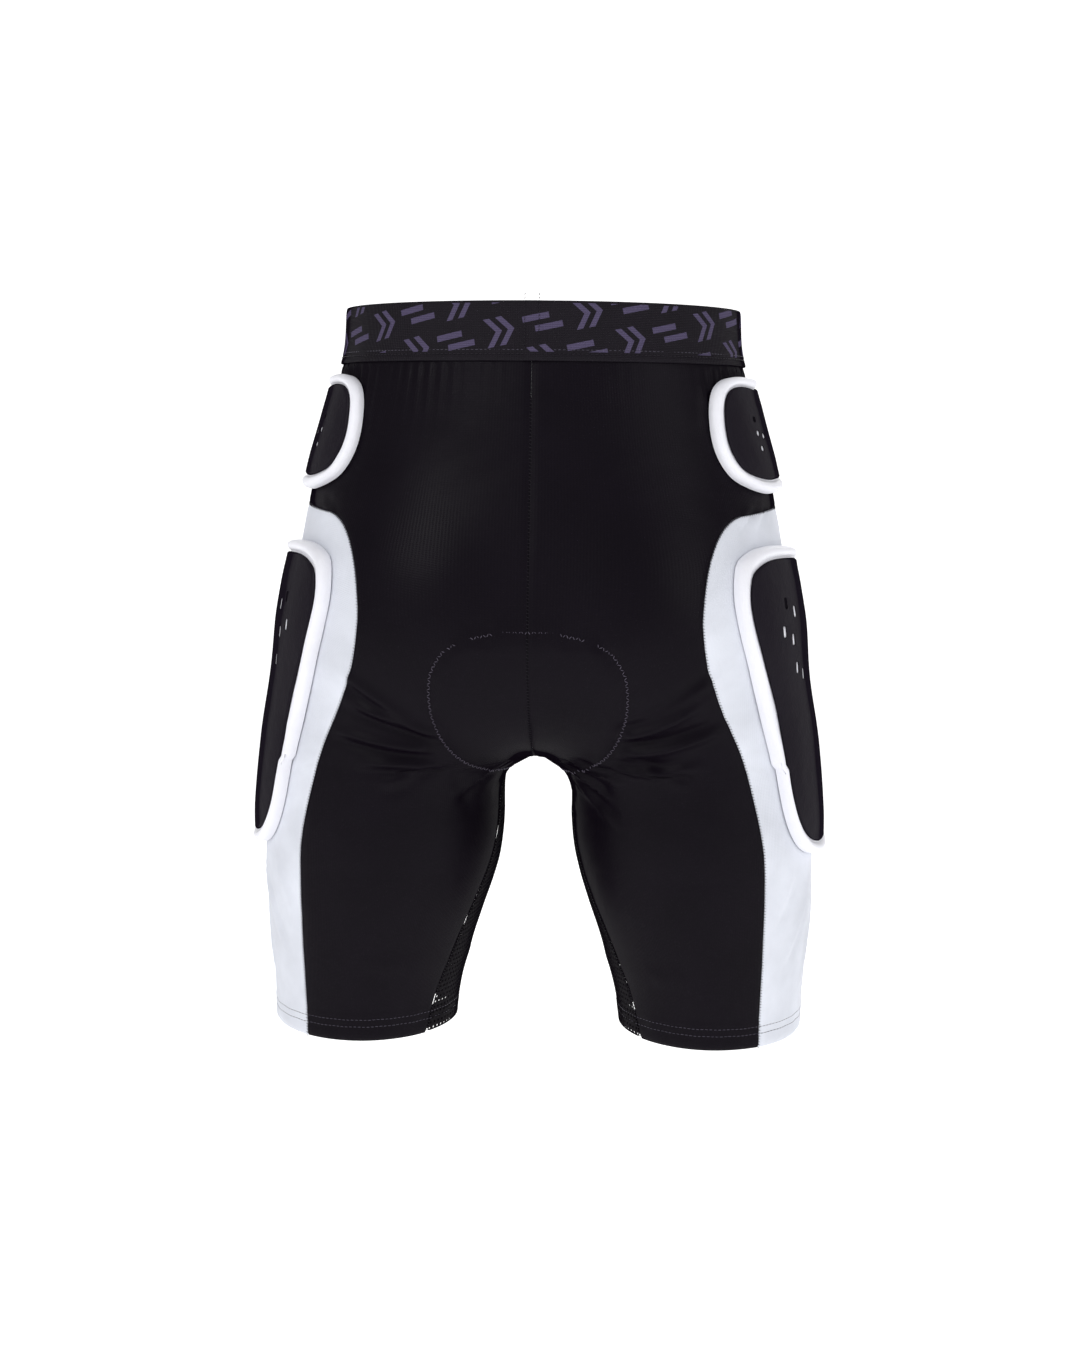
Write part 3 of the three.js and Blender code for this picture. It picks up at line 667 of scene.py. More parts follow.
def new_tree(name: str, sizes: Sequence[str]) -> tuple[bpy.types.NodeTree, bpy.types.Node]:
    """A geometry node tree with a geometry input, named sizes, a seed and a material.

    Args:
        name: the tree's name.
        sizes: the names of its size inputs.

    Returns:
        The tree and its group input node.
    """
    tree = bpy.data.node_groups.new(name, "GeometryNodeTree")
    tree.interface.new_socket("Geometry", in_out="INPUT", socket_type="NodeSocketGeometry")
    tree.interface.new_socket("Geometry", in_out="OUTPUT", socket_type="NodeSocketGeometry")
    for size in sizes:
        tree.interface.new_socket(size, in_out="INPUT", socket_type="NodeSocketFloat")
    tree.interface.new_socket("Seed", in_out="INPUT", socket_type="NodeSocketInt")
    tree.interface.new_socket("Finish", in_out="INPUT", socket_type="NodeSocketMaterial")
    return tree, tree.nodes.new("NodeGroupInput")


def slot_shape(tree: bpy.types.NodeTree, given: bpy.types.Node) -> bpy.types.Node:
    """A closed bar with rounded corners, from the tree's length, width and height."""
    frame_line = add(tree, "GeometryNodeCurvePrimitiveQuadrilateral", {"Width": given.outputs["Length"],
                                                                      "Height": given.outputs["Width"]})
    corner = add(tree, "ShaderNodeMath", {0: given.outputs["Width"], 1: 0.28}, operation="MULTIPLY")
    rounded = add(tree, "GeometryNodeFilletCurve", {"Curve": frame_line, "Radius": corner, "Count": 3},
                  mode="POLY")
    low = add(tree, "GeometryNodeFillCurve", {"Curve": rounded}, mode="NGONS")
    raised = add(tree, "GeometryNodeExtrudeMesh", {"Mesh": low, "Offset Scale": given.outputs["Height"],
                                                   "Individual": False})
    whole = add(tree, "GeometryNodeJoinGeometry")
    tree.links.new(raised.outputs[0], whole.inputs[0])
    tree.links.new(add(tree, "GeometryNodeFlipFaces", {"Mesh": low}).outputs[0], whole.inputs[0])
    merged = add(tree, "GeometryNodeMergeByDistance", {"Geometry": whole, "Distance": 1e-6})
    down = add(tree, "ShaderNodeMath", {0: given.outputs["Height"], 1: -0.5}, operation="MULTIPLY")
    shift = add(tree, "ShaderNodeCombineXYZ", {2: down})
    return add(tree, "GeometryNodeTransform", {"Geometry": merged, "Translation": shift})


def repeat_tree(shape: Repeat) -> bpy.types.NodeTree:
    """Lays one small shape on every vertex, turned by the vertex's `out` and `along` attributes.

    Args:
        shape: a thread stitch, or a plug that cuts a vent.

    Returns:
        The tree.
    """
    tree, given = new_tree(f"lay {shape.value}", ["Length", "Width", "Height", "Unevenness"])
    named = enumerate(("Length", "Width", "Height"))
    size = add(tree, "ShaderNodeCombineXYZ", {k: given.outputs[n] for k, n in named})
    if shape is Repeat.THREAD:
        bead = add(tree, "GeometryNodeMeshUVSphere", {"Segments": 6, "Rings": 4, "Radius": 0.5})
        bead = add(tree, "GeometryNodeTransform", {"Geometry": bead, "Scale": size.outputs[0]})
    else:
        bead = slot_shape(tree, given)
    out = add(tree, "GeometryNodeInputNamedAttribute", {"Name": "out"}, data_type="FLOAT_VECTOR")
    along = add(tree, "GeometryNodeInputNamedAttribute", {"Name": "along"}, data_type="FLOAT_VECTOR")
    stand = add(tree, "FunctionNodeAlignRotationToVector", {"Vector": out}, axis="Z")
    turn = add(tree, "FunctionNodeAlignRotationToVector", {"Rotation": stand, "Vector": along}, axis="X",
               pivot_axis="Z")
    less = add(tree, "ShaderNodeMath", {0: 1.0, 1: given.outputs["Unevenness"]}, operation="SUBTRACT")
    more = add(tree, "ShaderNodeMath", {0: 1.0, 1: given.outputs["Unevenness"]}, operation="ADD")
    vary = add(tree, "FunctionNodeRandomValue", {2: less, 3: more, "Seed": given.outputs["Seed"]},
               data_type="FLOAT")
    laid = add(tree, "GeometryNodeInstanceOnPoints", {
        "Points": given.outputs["Geometry"], "Instance": bead, "Rotation": turn, "Scale": vary.outputs[1]})
    real = add(tree, "GeometryNodeRealizeInstances", {"Geometry": laid})
    dressed = add(tree, "GeometryNodeSetMaterial", {"Geometry": real, "Material": given.outputs["Finish"]})
    smooth = add(tree, "GeometryNodeSetShadeSmooth", {"Geometry": dressed})
    add(tree, "NodeGroupOutput", {0: smooth})
    return tree


def perforation_tree() -> bpy.types.NodeTree:
    """Cuts a round hole into every face of a sheet, and gives the sheet its thickness."""
    tree, given = new_tree("perforate knit", ["Hole share", "Thickness"])
    cut = add(tree, "GeometryNodeExtrudeMesh", {"Mesh": given.outputs["Geometry"], "Offset Scale": 0.0,
                                                "Individual": True})
    shrunk = add(tree, "GeometryNodeScaleElements", {"Geometry": cut.outputs[0], "Selection": cut.outputs[1],
                                                     "Scale": given.outputs["Hole share"]})
    holed = add(tree, "GeometryNodeDeleteGeometry", {"Geometry": shrunk, "Selection": cut.outputs[1]},
                domain="FACE")
    back = add(tree, "GeometryNodeFlipFaces", {"Mesh": holed})
    thick = add(tree, "GeometryNodeExtrudeMesh", {"Mesh": back, "Offset Scale": given.outputs["Thickness"],
                                                  "Individual": False})
    whole = add(tree, "GeometryNodeJoinGeometry")
    tree.links.new(thick.outputs[0], whole.inputs[0])
    tree.links.new(holed.outputs[0], whole.inputs[0])
    merged = add(tree, "GeometryNodeMergeByDistance", {"Geometry": whole, "Distance": 1e-6})
    rounded = add(tree, "GeometryNodeSubdivisionSurface", {"Mesh": merged, "Level": 1})
    real = add(tree, "GeometryNodeRealizeInstances", {"Geometry": rounded})
    dressed = add(tree, "GeometryNodeSetMaterial", {"Geometry": real, "Material": given.outputs["Finish"]})
    add(tree, "NodeGroupOutput", {0: dressed})
    return tree


def run_tree(source: bpy.types.Object, tree: bpy.types.NodeTree, name: str, material: bpy.types.Material,
             **values) -> bpy.types.Object:
    """Runs a geometry node tree on an object and keeps the plain result.

    Args:
        source: the object that carries the vertices or faces; it is used up.
        tree: the tree.
        name: the new object's name.
        material: its finish.
        **values: input names, with _ for a space, to values.

    Returns:
        The plain object.
    """
    modifier = source.modifiers.new("repeat", "NODES")
    modifier.node_group = tree
    wanted = {**{key.replace("_", " "): value for key, value in values.items()}, "Finish": material}
    for item in tree.interface.items_tree:
        if item.in_out == "INPUT" and item.name in wanted:
            modifier[item.identifier] = wanted[item.name]
    return baked(source, name, material)


def marker_object(points: Array, out: Array, along: Array) -> bpy.types.Object:
    """A mesh of loose vertices that carries the directions for a repeat tree."""
    mesh = bpy.data.meshes.new("marks")
    mesh.from_pydata((points * MM).tolist(), [], [])
    for name, vectors in (("out", out), ("along", along)):
        attribute = mesh.attributes.new(name, "FLOAT_VECTOR", "POINT")
        attribute.data.foreach_set("vector", np.asarray(vectors, float).ravel())
    made = bpy.data.objects.new("marks", mesh)
    bpy.context.scene.collection.objects.link(made)
    return made


# ------------------------------------------------------------------ the knit's relief


@dataclass(frozen=True)
class Crease:
    """One drag line in the knit, between two places near the form."""

    start: tuple[float, float, float]
    end: tuple[float, float, float]
    depth: float = 1.2
    width: float = 4.0
    bend: float = 0.0


@dataclass
class KnitRelief:
    """How the knit stands off the form: gathers under the elastic, the seat pad's bulge, drag lines, hems."""

    form: BodyForm
    gather_depth: float = 1.7
    gather_reach: float = 20.0
    gather_radius: float = 118.0  # about the waist's
    seat_bulge: float = 2.0
    crease_strength: float = 1.4
    creases: tuple[Crease, ...] = (
        # out and up from the seat pad's lower corners
        Crease((-50, -120, -297), (-124, -90, -258), 2.2, 3.6, 3),
        Crease((-54, -112, -303), (-134, -80, -280), 2.4, 3.8, 2),
        Crease((-44, -96, -311), (-120, -90, -304), 1.9, 3.4, 3),
        Crease((-68, -110, -284), (-122, -85, -238), 1.4, 3.6, 3),
        Crease((-60, -112, -309), (-104, -95, -320), 1.2, 3.4, -2),
        Crease((52, -120, -294), (118, -90, -252), 2.2, 3.6, -3),
        Crease((50, -110, -302), (132, -80, -272), 2.5, 3.8, -2),
        Crease((42, -94, -310), (116, -90, -300), 1.9, 3.4, -3),
        Crease((72, -110, -278), (122, -85, -232), 1.4, 3.6, -3),
        Crease((62, -110, -308), (108, -95, -318), 1.3, 3.4, 2),
        # beside the gap between the legs
        Crease((16, -60, -312), (42, -90, -338), 1.9, 3),
        Crease((-18, -60, -314), (-42, -90, -336), 1.6, 3),
        Crease((24, -50, -320), (52, -90, -352), 1.3, 3.4),
        Crease((20, -70, -309), (58, -95, -322), 1.6, 3),
        # below and behind the hip pads
        Crease((150, -50, -127), (136, -80, -146), 0.8, 3),
        Crease((158, -35, -128), (147, -65, -148), 0.8, 3),
        Crease((-152, -50, -127), (-134, -80, -143), 0.5, 3),
        Crease((118, -70, -46), (116, -75, -84), 1.0, 3.5),
        # down the legs from the thigh pads' tips, and round the knees
        Crease((186, -20, -384), (168, -50, -452), 1.0, 4),
        Crease((188, 5, -386), (182, -20, -470), 1.0, 4),
        Crease((176, -50, -378), (158, -60, -420), 0.8, 4),
        Crease((186, 30, -386), (182, 40, -468), 0.9, 4),
        Crease((-186, -20, -382), (-170, -50, -448), 1.0, 4),
        Crease((-188, 5, -384), (-183, -22, -472), 1.0, 4),
        Crease((-176, -50, -376), (-160, -60, -424), 0.8, 4),
        Crease((-186, 30, -384), (-182, 42, -464), 0.9, 4),
        Crease((60, -90, -470), (112, -80, -452), 0.5, 6),
        Crease((-66, -90, -462), (-120, -80, -446), 0.5, 6),
        # in front, where the thighs meet the body
        Crease((40, 90, -296), (122, 80, -262), 1.2, 5),
        Crease((-40, 90, -298), (-124, 80, -258), 1.2, 5),
        Crease((34, 80, -310), (112, 90, -296), 1.0, 5),
        Crease((-34, 80, -310), (-112, 90, -292), 1.0, 5),
    )
    lines: list = field(default_factory=list)

    def __post_init__(self) -> None:
        """Lays the drag lines and the rise seam on the form."""
        t = np.linspace(0, 1, 12)
        for crease in self.creases:
            start, end = np.array(crease.start, float), np.array(crease.end, float)
            path = start + (end - start) * t[:, None]
            path[:, 2] += crease.bend * np.sin(t * math.pi)
            self.lines.append((crease, self.form.settle(path)))
        self.rise_shares = np.linspace(0, 1, 160)
        self.rise_line = self.form.rise_place(self.rise_shares, np.zeros(160))

    def crease_height(self, p: Array, n: Array) -> Array:
        """The drag lines' height at each place."""
        total = np.zeros(len(p))
        for crease, line in self.lines:
            reach = crease.width * 4
            near = np.flatnonzero(((p > line.min(0) - reach) & (p < line.max(0) + reach)).all(axis=1))
            if not len(near):
                continue
            gaps = np.linalg.norm(p[near, None] - line[None], axis=2)
            nearest = gaps.argmin(axis=1)
            share = nearest / (len(line) - 1)
            direction = np.gradient(line, axis=0)[nearest]
            direction /= np.linalg.norm(direction, axis=1, keepdims=True)
            away = p[near] - line[nearest]
            beyond = np.abs((away * direction).sum(axis=1))
            aside = (np.cross(n[near], direction) * away).sum(axis=1)
            ridge = np.exp(-((aside / crease.width) ** 2)) - 0.75 * np.exp(
                -(((aside - 1.7 * crease.width) / crease.width) ** 2))
            fade = smoothstep(np.minimum(share, 1 - share) * 3.2 + 0.02) * np.exp(-((beyond / 14) ** 2))
            total[near] += crease.depth * ridge * fade
        return self.crease_strength * total

    def gathers(self, p: Array) -> Array:
        """The short pleats below the elastic."""
        angle = np.arctan2(p[:, 0], -p[:, 1])
        arc = angle * self.gather_radius
        tilt = math.tan(math.radians(self.form.waist_tilt))
        below = -Waistband.height - tilt * p[:, 1] - p[:, 2]
        wave = np.sin(arc * 2 * math.pi / 8.6 + 1.3 * np.sin(arc / 17) + 0.8 * np.sin(arc / 41 + 1))
        left = smoothstep((-angle - 0.02) / 0.35)
        right = smoothstep((angle - 0.95) / 0.2)
        front = smoothstep((np.abs(angle) - 2.0) / 0.3) * 0.6
        amount = np.clip(left + right + front, 0.12, 1.0) * (0.75 + 0.25 * np.sin(arc / 11 + 2))
        lean = np.sin((arc + below * 0.25) / 23)
        reach = self.gather_reach * (1 + 0.35 * lean)
        fade = smoothstep(below / 5) * np.exp(-np.maximum(below, 0) / reach)
        return self.gather_depth * amount * wave * fade

    def seat(self, p: Array) -> Array:
        """The seat pad's bulge, with a valley along its stitches."""
        height = np.zeros(len(p))
        near = np.flatnonzero((np.abs(p[:, 0]) < 90) & (p[:, 2] < -215) & (p[:, 2] > -345))
        if not len(near):
            return height
        gap = np.linalg.norm(p[near, None, 1:] - self.rise_line[None, :, 1:], axis=2)
        t = self.rise_shares[gap.argmin(axis=1)]
        width = SeatPad.half_width(t)
        side = width - np.abs(p[near, 0])
        ends = np.minimum(t, 1 - t) * SeatPad.length
        inside = np.minimum(side, ends + 4)
        off_line = np.where(gap.min(axis=1) < 60, 1.0, 0.0)
        bulge = self.seat_bulge * smoothstep(inside / 12) - 0.7 * np.exp(-((inside / 2.2) ** 2))
        wave = np.sin((t * SeatPad.length + np.abs(p[near, 0]) * 0.4) / 2.1)
        puckers = 0.28 * wave * np.exp(-((inside / 6) ** 2))
        height[near] = (bulge + puckers) * off_line
        return height

    def height(self, p: Array, n: Array) -> Array:
        """The whole relief, in millimetres above the form.

        Args:
            p: places on the form.
            n: the outward directions there.

        Returns:
            The height at each place.
        """
        x, y, z = p[:, 0], p[:, 1], p[:, 2]
        slow = np.sin(x / 23 + 1.3 * np.sin(z / 31)) * np.sin(z / 19 + y / 27 + 0.7 * np.sin(x / 17))
        fine = np.sin(x / 7.3 + 2 * np.sin(z / 11)) * np.sin(z / 8.1 + y / 9.7)
        tilt = math.tan(math.radians(self.form.hem_tilt))
        above_hem = z - self.form.hem + tilt * -(y - 4)
        folded = 0.35 * (1 - smoothstep((above_hem - LegHems.turn + 1) / 2.5))
        sewn = sum(np.exp(-(((above_hem - row) / 1.1) ** 2)) for row in LegHems.rows)
        wave = np.sin((np.arctan2(y, np.abs(x) - self.form.hem_centre) * 64) / 2.6)
        hem = folded - 0.45 * sewn + 0.25 * wave * np.exp(-(((above_hem - 12) / 7) ** 2))
        free = smoothstep((-Waistband.height - 2 - z) / 8)
        loose = (0.3 * slow + 0.1 * fine + self.crease_height(p, n)) * free
        return loose + self.gathers(p) + self.seat(p) + hem

    def lifted(self, p: Array, lift: float = 0.0) -> tuple[Array, Array]:
        """Places on the knit's own face above places on the form, and the outward directions."""
        n = self.form.normals(p)
        return p + n * (self.height(p, n) + lift)[:, None], n


# ------------------------------------------------------------------ sub-assemblies


@dataclass
class Workshop:
    """What the sub-assemblies share: the form, the relief, the finishes and the repeat trees."""

    form: BodyForm
    relief: KnitRelief
    finishes: dict = field(default_factory=dict)
    trees: dict = field(default_factory=dict)

    def material(self, finish: Finish) -> bpy.types.Material:
        """The material of a finish, made once."""
        if finish.name not in self.finishes:
            self.finishes[finish.name] = finish.build()
        return self.finishes[finish.name]

    def tree(self, shape: Repeat) -> bpy.types.NodeTree:
        """The repeat tree of a shape, made once."""
        if shape not in self.trees:
            self.trees[shape] = repeat_tree(shape)
        return self.trees[shape]

    def stitches(self, name: str, points: Array, out: Array, along: Array, size: tuple[float, float, float],
                 finish: Finish, slot: str, uneven: float = 0.08) -> bpy.types.Object:
        """Sews a row of thread stitches.

        Args:
            name: the piece's name.
            points: the stitches' middles, in millimetres.
            out: the outward directions.
            along: the directions that the stitches lie in.
            size: each stitch's length, width and height.
            finish: the thread.
            slot: not used.
            uneven: how much the stitches vary in size.

        Returns:
            The piece.
        """
        marks = marker_object(points, out, along)
        length, width, height = (v * MM for v in size)
        made = run_tree(marks, self.tree(Repeat.THREAD), name, self.material(finish), Length=length,
                        Width=width, Height=height, Unevenness=uneven, Seed=7)
        LOG.info("%s: %d stitches", name, len(points))
        return made


def spaced(line: Array, step: float, closed: bool = False) -> Array:
    """Evenly spaced places along a line.

    Args:
        line: its points.
        step: the spacing in millimetres.
        closed: whether the line returns to its start.

    Returns:
        The places.
    """
    if closed:
        line = np.concatenate([line, line[:1]])
    along = np.concatenate([[0], np.cumsum(np.linalg.norm(np.diff(line, axis=0), axis=1))])
    count = max(2, int(round(along[-1] / step)) + (0 if closed else 1))
    at = np.linspace(0, along[-1], count, endpoint=not closed)
    return np.stack([np.interp(at, along, line[:, k]) for k in range(3)], axis=1)


def grid_faces(rows: int, columns: int) -> Array:
    """The faces of a grid, whose vertices are numbered row by row."""
    i, j = np.meshgrid(np.arange(rows - 1), np.arange(columns - 1), indexing="ij")
    a = (i * columns + j).ravel()
    return np.stack([a, a + columns, a + columns + 1, a + 1], axis=1)


@dataclass
class Panels:
    """The cut knit panels: black back and front, white sides, perforated inner thighs."""

    shop: Workshop
    thickness: float = 1.2
    overlap: float = 9.0  # how far the knit runs up behind the elastic
    side_corner: tuple[float, float] = (24, 50)
    side_edge: tuple[float, float] = (114, 158)
    gusset: tuple[float, float] = (0.02, 0.11)
    seam: float = 0.3
    mesh_pitch: float = 3.6

    def __post_init__(self) -> None:
        """Reads the side panel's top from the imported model, and lays out the rings."""
        form = self.shop.form
        self.side_top = round(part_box("side_panel_right")[1].z / MM, 0)
        self.start = (Waistband.height - self.overlap) / -form.hem
        self.side_start = self.side_top / form.hem
        self.corner_end = (self.side_top - self.side_corner[1]) / form.hem
        top, thigh = self.side_edge
        self.edge_x = Profile((self.side_top - self.side_corner[1], top),
                              (lerp(form.seat, form.crotch, 0.2), top + 9),
                              (lerp(form.seat, form.crotch, 0.9), thigh - 16),
                              (form.crotch - 0.3 * form.inseam, thigh), (form.hem, thigh - 1))
        self.upper = np.linspace(self.start, self.side_start, 48)
        turn = np.linspace(0, math.pi / 2, 14)[1:]
        self.lower = np.concatenate([
            lerp(self.side_start, self.corner_end, 1 - np.cos(turn)),
            np.linspace(self.corner_end, form.crotch_ring, 58)[1:],
            np.linspace(form.crotch_ring, 1, 82)[1:]])

    def side_edge_u(self, s: Array) -> Array:
        """Where the side panel's rear edge crosses each ring."""
        level = s * self.shop.form.hem
        width, height = self.side_corner
        drop = np.clip((self.side_top - level) / height, 0, 1)
        x = self.edge_x(level) + width * (1 - np.sqrt(1 - (1 - drop) ** 2))
        low, high = np.full(len(s), 0.12), np.full(len(s), 0.5)
        for _ in range(18):
            u = (low + high) / 2
            inside = self.shop.form.place(u, s)[:, 0] < x
            low, high = np.where(inside, u, low), np.where(inside, high, u)
        return low

    def gusset_u(self, s: Array) -> Array:
        """Half the inner thigh panel's share of each ring."""
        ring = self.shop.form.crotch_ring
        return np.where(s <= ring, 0.0, lerp(*self.gusset, (s - ring) / (1 - ring)))

    def patch(self, blocks: Sequence[tuple[Array, Array]], anchor: float) -> Patch:
        """Joins blocks of (u, s) grids into one patch.

        Args:
            blocks: grids that share their common edge.
            anchor: the u that the cloth's own sideways coordinate is counted from.

        Returns:
            The patch on the right half.
        """
        form = self.shop.form
        points, faces, uvs, count = [], [], [], 0
        for u, s in blocks:
            p = form.place(u, s)
            p[:, 0] = np.maximum(p[:, 0], self.seam / 2)
            points.append(p)
            faces.append(grid_faces(*u.shape) + count)
            width = lerp(310, 500, smoothstep((s - 0.3) / 0.35))
            uvs.append(np.stack([(u - anchor) * width, -s * -form.hem], axis=-1).reshape(-1, 2))
            count += u.size
        points, faces, uvs = np.concatenate(points), np.concatenate(faces), np.concatenate(uvs)
        _, first, inverse = np.unique(np.round(points, 3), axis=0, return_index=True, return_inverse=True)
        faces = inverse.reshape(-1)[faces]
        faces = [[int(i) for i in f] for f in faces if len(set(f.tolist())) == 4]
        points, uvs = points[first], uvs[first]
        normals = form.normals(points)
        a, b, c = (points[[f[k] for f in faces]] for k in range(3))
        facing = (np.cross(b - a, c - a) * normals[[f[0] for f in faces]]).sum()
        if facing < 0:
            faces = [f[::-1] for f in faces]
        return Patch(points, normals, faces, uvs)

    def main_patch(self, front: bool) -> Patch:
        """The back or front panel of the right half."""
        turn: Callable[[Array], Array] = (lambda u: 1 - u) if front else (lambda u: u)
        inset = self.seam / 600
        corner = float(self.side_edge_u(np.array([self.side_start]))[0]) - inset
        inner = np.linspace(0, corner, 46)
        outer = np.linspace(corner, 0.5 - inset, 26)[1:]
        upper_u, upper_s = np.meshgrid(turn(np.concatenate([inner, outer])), self.upper)
        edge = np.concatenate([[corner], self.side_edge_u(self.lower) - inset])
        rings = np.concatenate([[self.side_start], self.lower])
        start = np.where(rings > self.shop.form.crotch_ring, self.gusset_u(rings) + inset, 0)
        share = np.linspace(0, 1, 46)[None]
        lower_u = turn(start[:, None] + (edge - start)[:, None] * share)
        return self.patch([(upper_u, upper_s), (lower_u, np.repeat(rings[:, None], 46, axis=1))],
                          1.0 if front else 0.0)

    def side_patch(self) -> Patch:
        """The white panel of the right half."""
        rings = np.concatenate([[self.side_start + 0.0006], self.lower])
        edge = self.side_edge_u(np.maximum(rings - 0.0012, self.side_start)) + self.seam / 600
        share = np.linspace(0, 1, 96)[None]
        u = edge[:, None] + (1 - 2 * edge)[:, None] * share
        return self.patch([(u, np.repeat(rings[:, None], 96, axis=1))], 0.5)

    def gusset_patch(self) -> Patch:
        """The perforated panel of the right inner thigh, one face for each hole."""
        form = self.shop.form
        rings = np.linspace(form.crotch_ring + 0.02, 1 - 0.002, int(form.inseam * 0.97 / self.mesh_pitch))
        edge = self.gusset_u(rings) - self.seam / 600
        columns = 22
        u = edge[:, None] * np.linspace(-1, 1, columns)[None]
        grid = self.patch([(np.where(u < 0, 1 + u, u), np.repeat(rings[:, None], columns, axis=1))], 0.0)
        return grid

    def heights(self, patch: Patch) -> tuple[Array, Array]:
        """The inner and outer heights of a panel, with its edges turned in and the hem rolled under."""
        form = self.shop.form
        edge = patch.edge_distance()
        tuck = 0.75 * np.exp(-((edge / 1.3) ** 2))
        high = self.shop.relief.height(patch.points, patch.normals) - tuck
        tilt = math.tan(math.radians(form.hem_tilt))
        above = patch.points[:, 2] - form.hem - tilt * (patch.points[:, 1] - 4)
        roll = np.clip(1 - above / 2.2, 0, 1)
        high -= 1.0 * roll**2
        low = np.minimum(high - self.thickness + 0.25 * np.exp(-((edge / 1.3) ** 2)), high - 0.6)
        return low - 1.4 * roll, high

    def build_panel(self, node: str, half: Half, patch: Patch, finish: Finish) -> bpy.types.Object:
        """Makes one knit panel.

        Args:
            node: the CAD node's name without its side.
            half: the side.
            patch: its patch on the right half.
            finish: the knit.

        Returns:
            The panel.
        """
        own = patch.mirrored(half)
        low, high = self.heights(own)
        points, faces = own.solid(low, high)
        name = f"{node}_{half.suffix}"
        made = new_object(new_mesh(f"knit_{name}", points, faces, np.concatenate([own.uv, own.uv])),
                          self.shop.material(finish))
        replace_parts(made, name)
        LOG.info("%s: %d faces, %.4f square metres as worn", name, len(faces), own.area())
        return made

    def build_gusset(self, half: Half, patch: Patch) -> bpy.types.Object:
        """Makes one perforated inner thigh panel."""
        own = patch.mirrored(half)
        height = self.shop.relief.height(own.points, own.normals)
        mesh = new_mesh("perforated", own.points + own.normals * height[:, None], own.faces, own.uv)
        source = bpy.data.objects.new("perforated", mesh)
        bpy.context.scene.collection.objects.link(source)
        if "perforations" not in self.shop.trees:
            self.shop.trees["perforations"] = perforation_tree()
        name = f"inner_thigh_panel_{half.suffix}"
        made = run_tree(source, self.shop.trees["perforations"], f"mesh_{name}",
                        self.shop.material(BLACK_MESH),
                        Hole_share=0.36, Thickness=0.8 * MM, Seed=1)
        made.data.shade_smooth()
        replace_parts(made, name)
        LOG.info("%s: %d holes", name, len(own.faces))
        return made

    def seam_line(self, u: Array, s: Array, half: Half) -> Array:
        """A line on the form along given ring places, on one side."""
        return self.shop.form.place(u, s) * [half.value, 1, 1]

    def build_seams(self, half: Half) -> None:
        """Sews the panels of one half together."""
        relief, form = self.shop.relief, self.shop.form
        rings = self.lower
        edge = self.side_edge_u(rings)
        top_u = np.linspace(edge[0], 1 - edge[0], 60)
        around = np.concatenate([
            self.seam_line(edge[::-1], rings[::-1], half),
            self.seam_line(top_u, np.full(60, self.side_start), half),
            self.seam_line(1 - edge, rings, half)])
        below = rings[rings > form.crotch_ring]
        gusset = self.gusset_u(below)
        lines = {
            "side_seam": (around, 2.1, 2.6, DARK_THREAD, "white_knit"),
            "inner_seam_back": (self.seam_line(gusset, below, half), 2.1, 2.4, DARK_THREAD, "black_knit"),
            "inner_seam_front": (self.seam_line(1 - gusset, below, half), 2.1, 2.4, DARK_THREAD,
                                 "black_knit")}
        for name, (line, step, length, finish, slot) in lines.items():
            middle = spaced(form.settle(line), step)
            points, out = relief.lifted(form.settle(middle), 0.02)
            along = np.gradient(points, axis=0)
            across = np.cross(out, along) + 0.35 * along
            self.shop.stitches(f"thread_{name}_{half.suffix}", points - out * 0.35, out, across,
                               (length, 0.42, 0.42), finish, slot)

    def build(self) -> None:
        """Makes every panel and seam."""
        back, front = self.main_patch(False), self.main_patch(True)
        side, gusset = self.side_patch(), self.gusset_patch()
        for half in Half:
            self.build_panel("back_panel", half, back, BLACK_KNIT)
            self.build_panel("front_panel", half, front, BLACK_KNIT)
            self.build_panel("side_panel", half, side, WHITE_KNIT)
            self.build_gusset(half, gusset)
            self.build_seams(half)
        self.build_rise()

    def build_rise(self) -> None:
        """Sews the centre seam from the waistband at the back to the one in front."""
        form, relief = self.shop.form, self.shop.relief
        down = np.linspace(self.start + 0.02, form.crotch_ring, 90)
        line = np.concatenate([form.place(np.zeros(90), down), form.place(np.ones(90), down[::-1])])
        middle = form.settle(spaced(line, 2.4))
        points, out = relief.lifted(middle, 0.0)
        along = np.gradient(points, axis=0)
        self.shop.stitches("thread_rise_seam", points - out * 0.45, out, np.cross(out, along) + 0.3 * along,
                           (2.0, 0.4, 0.4), DARK_THREAD, "black_knit")


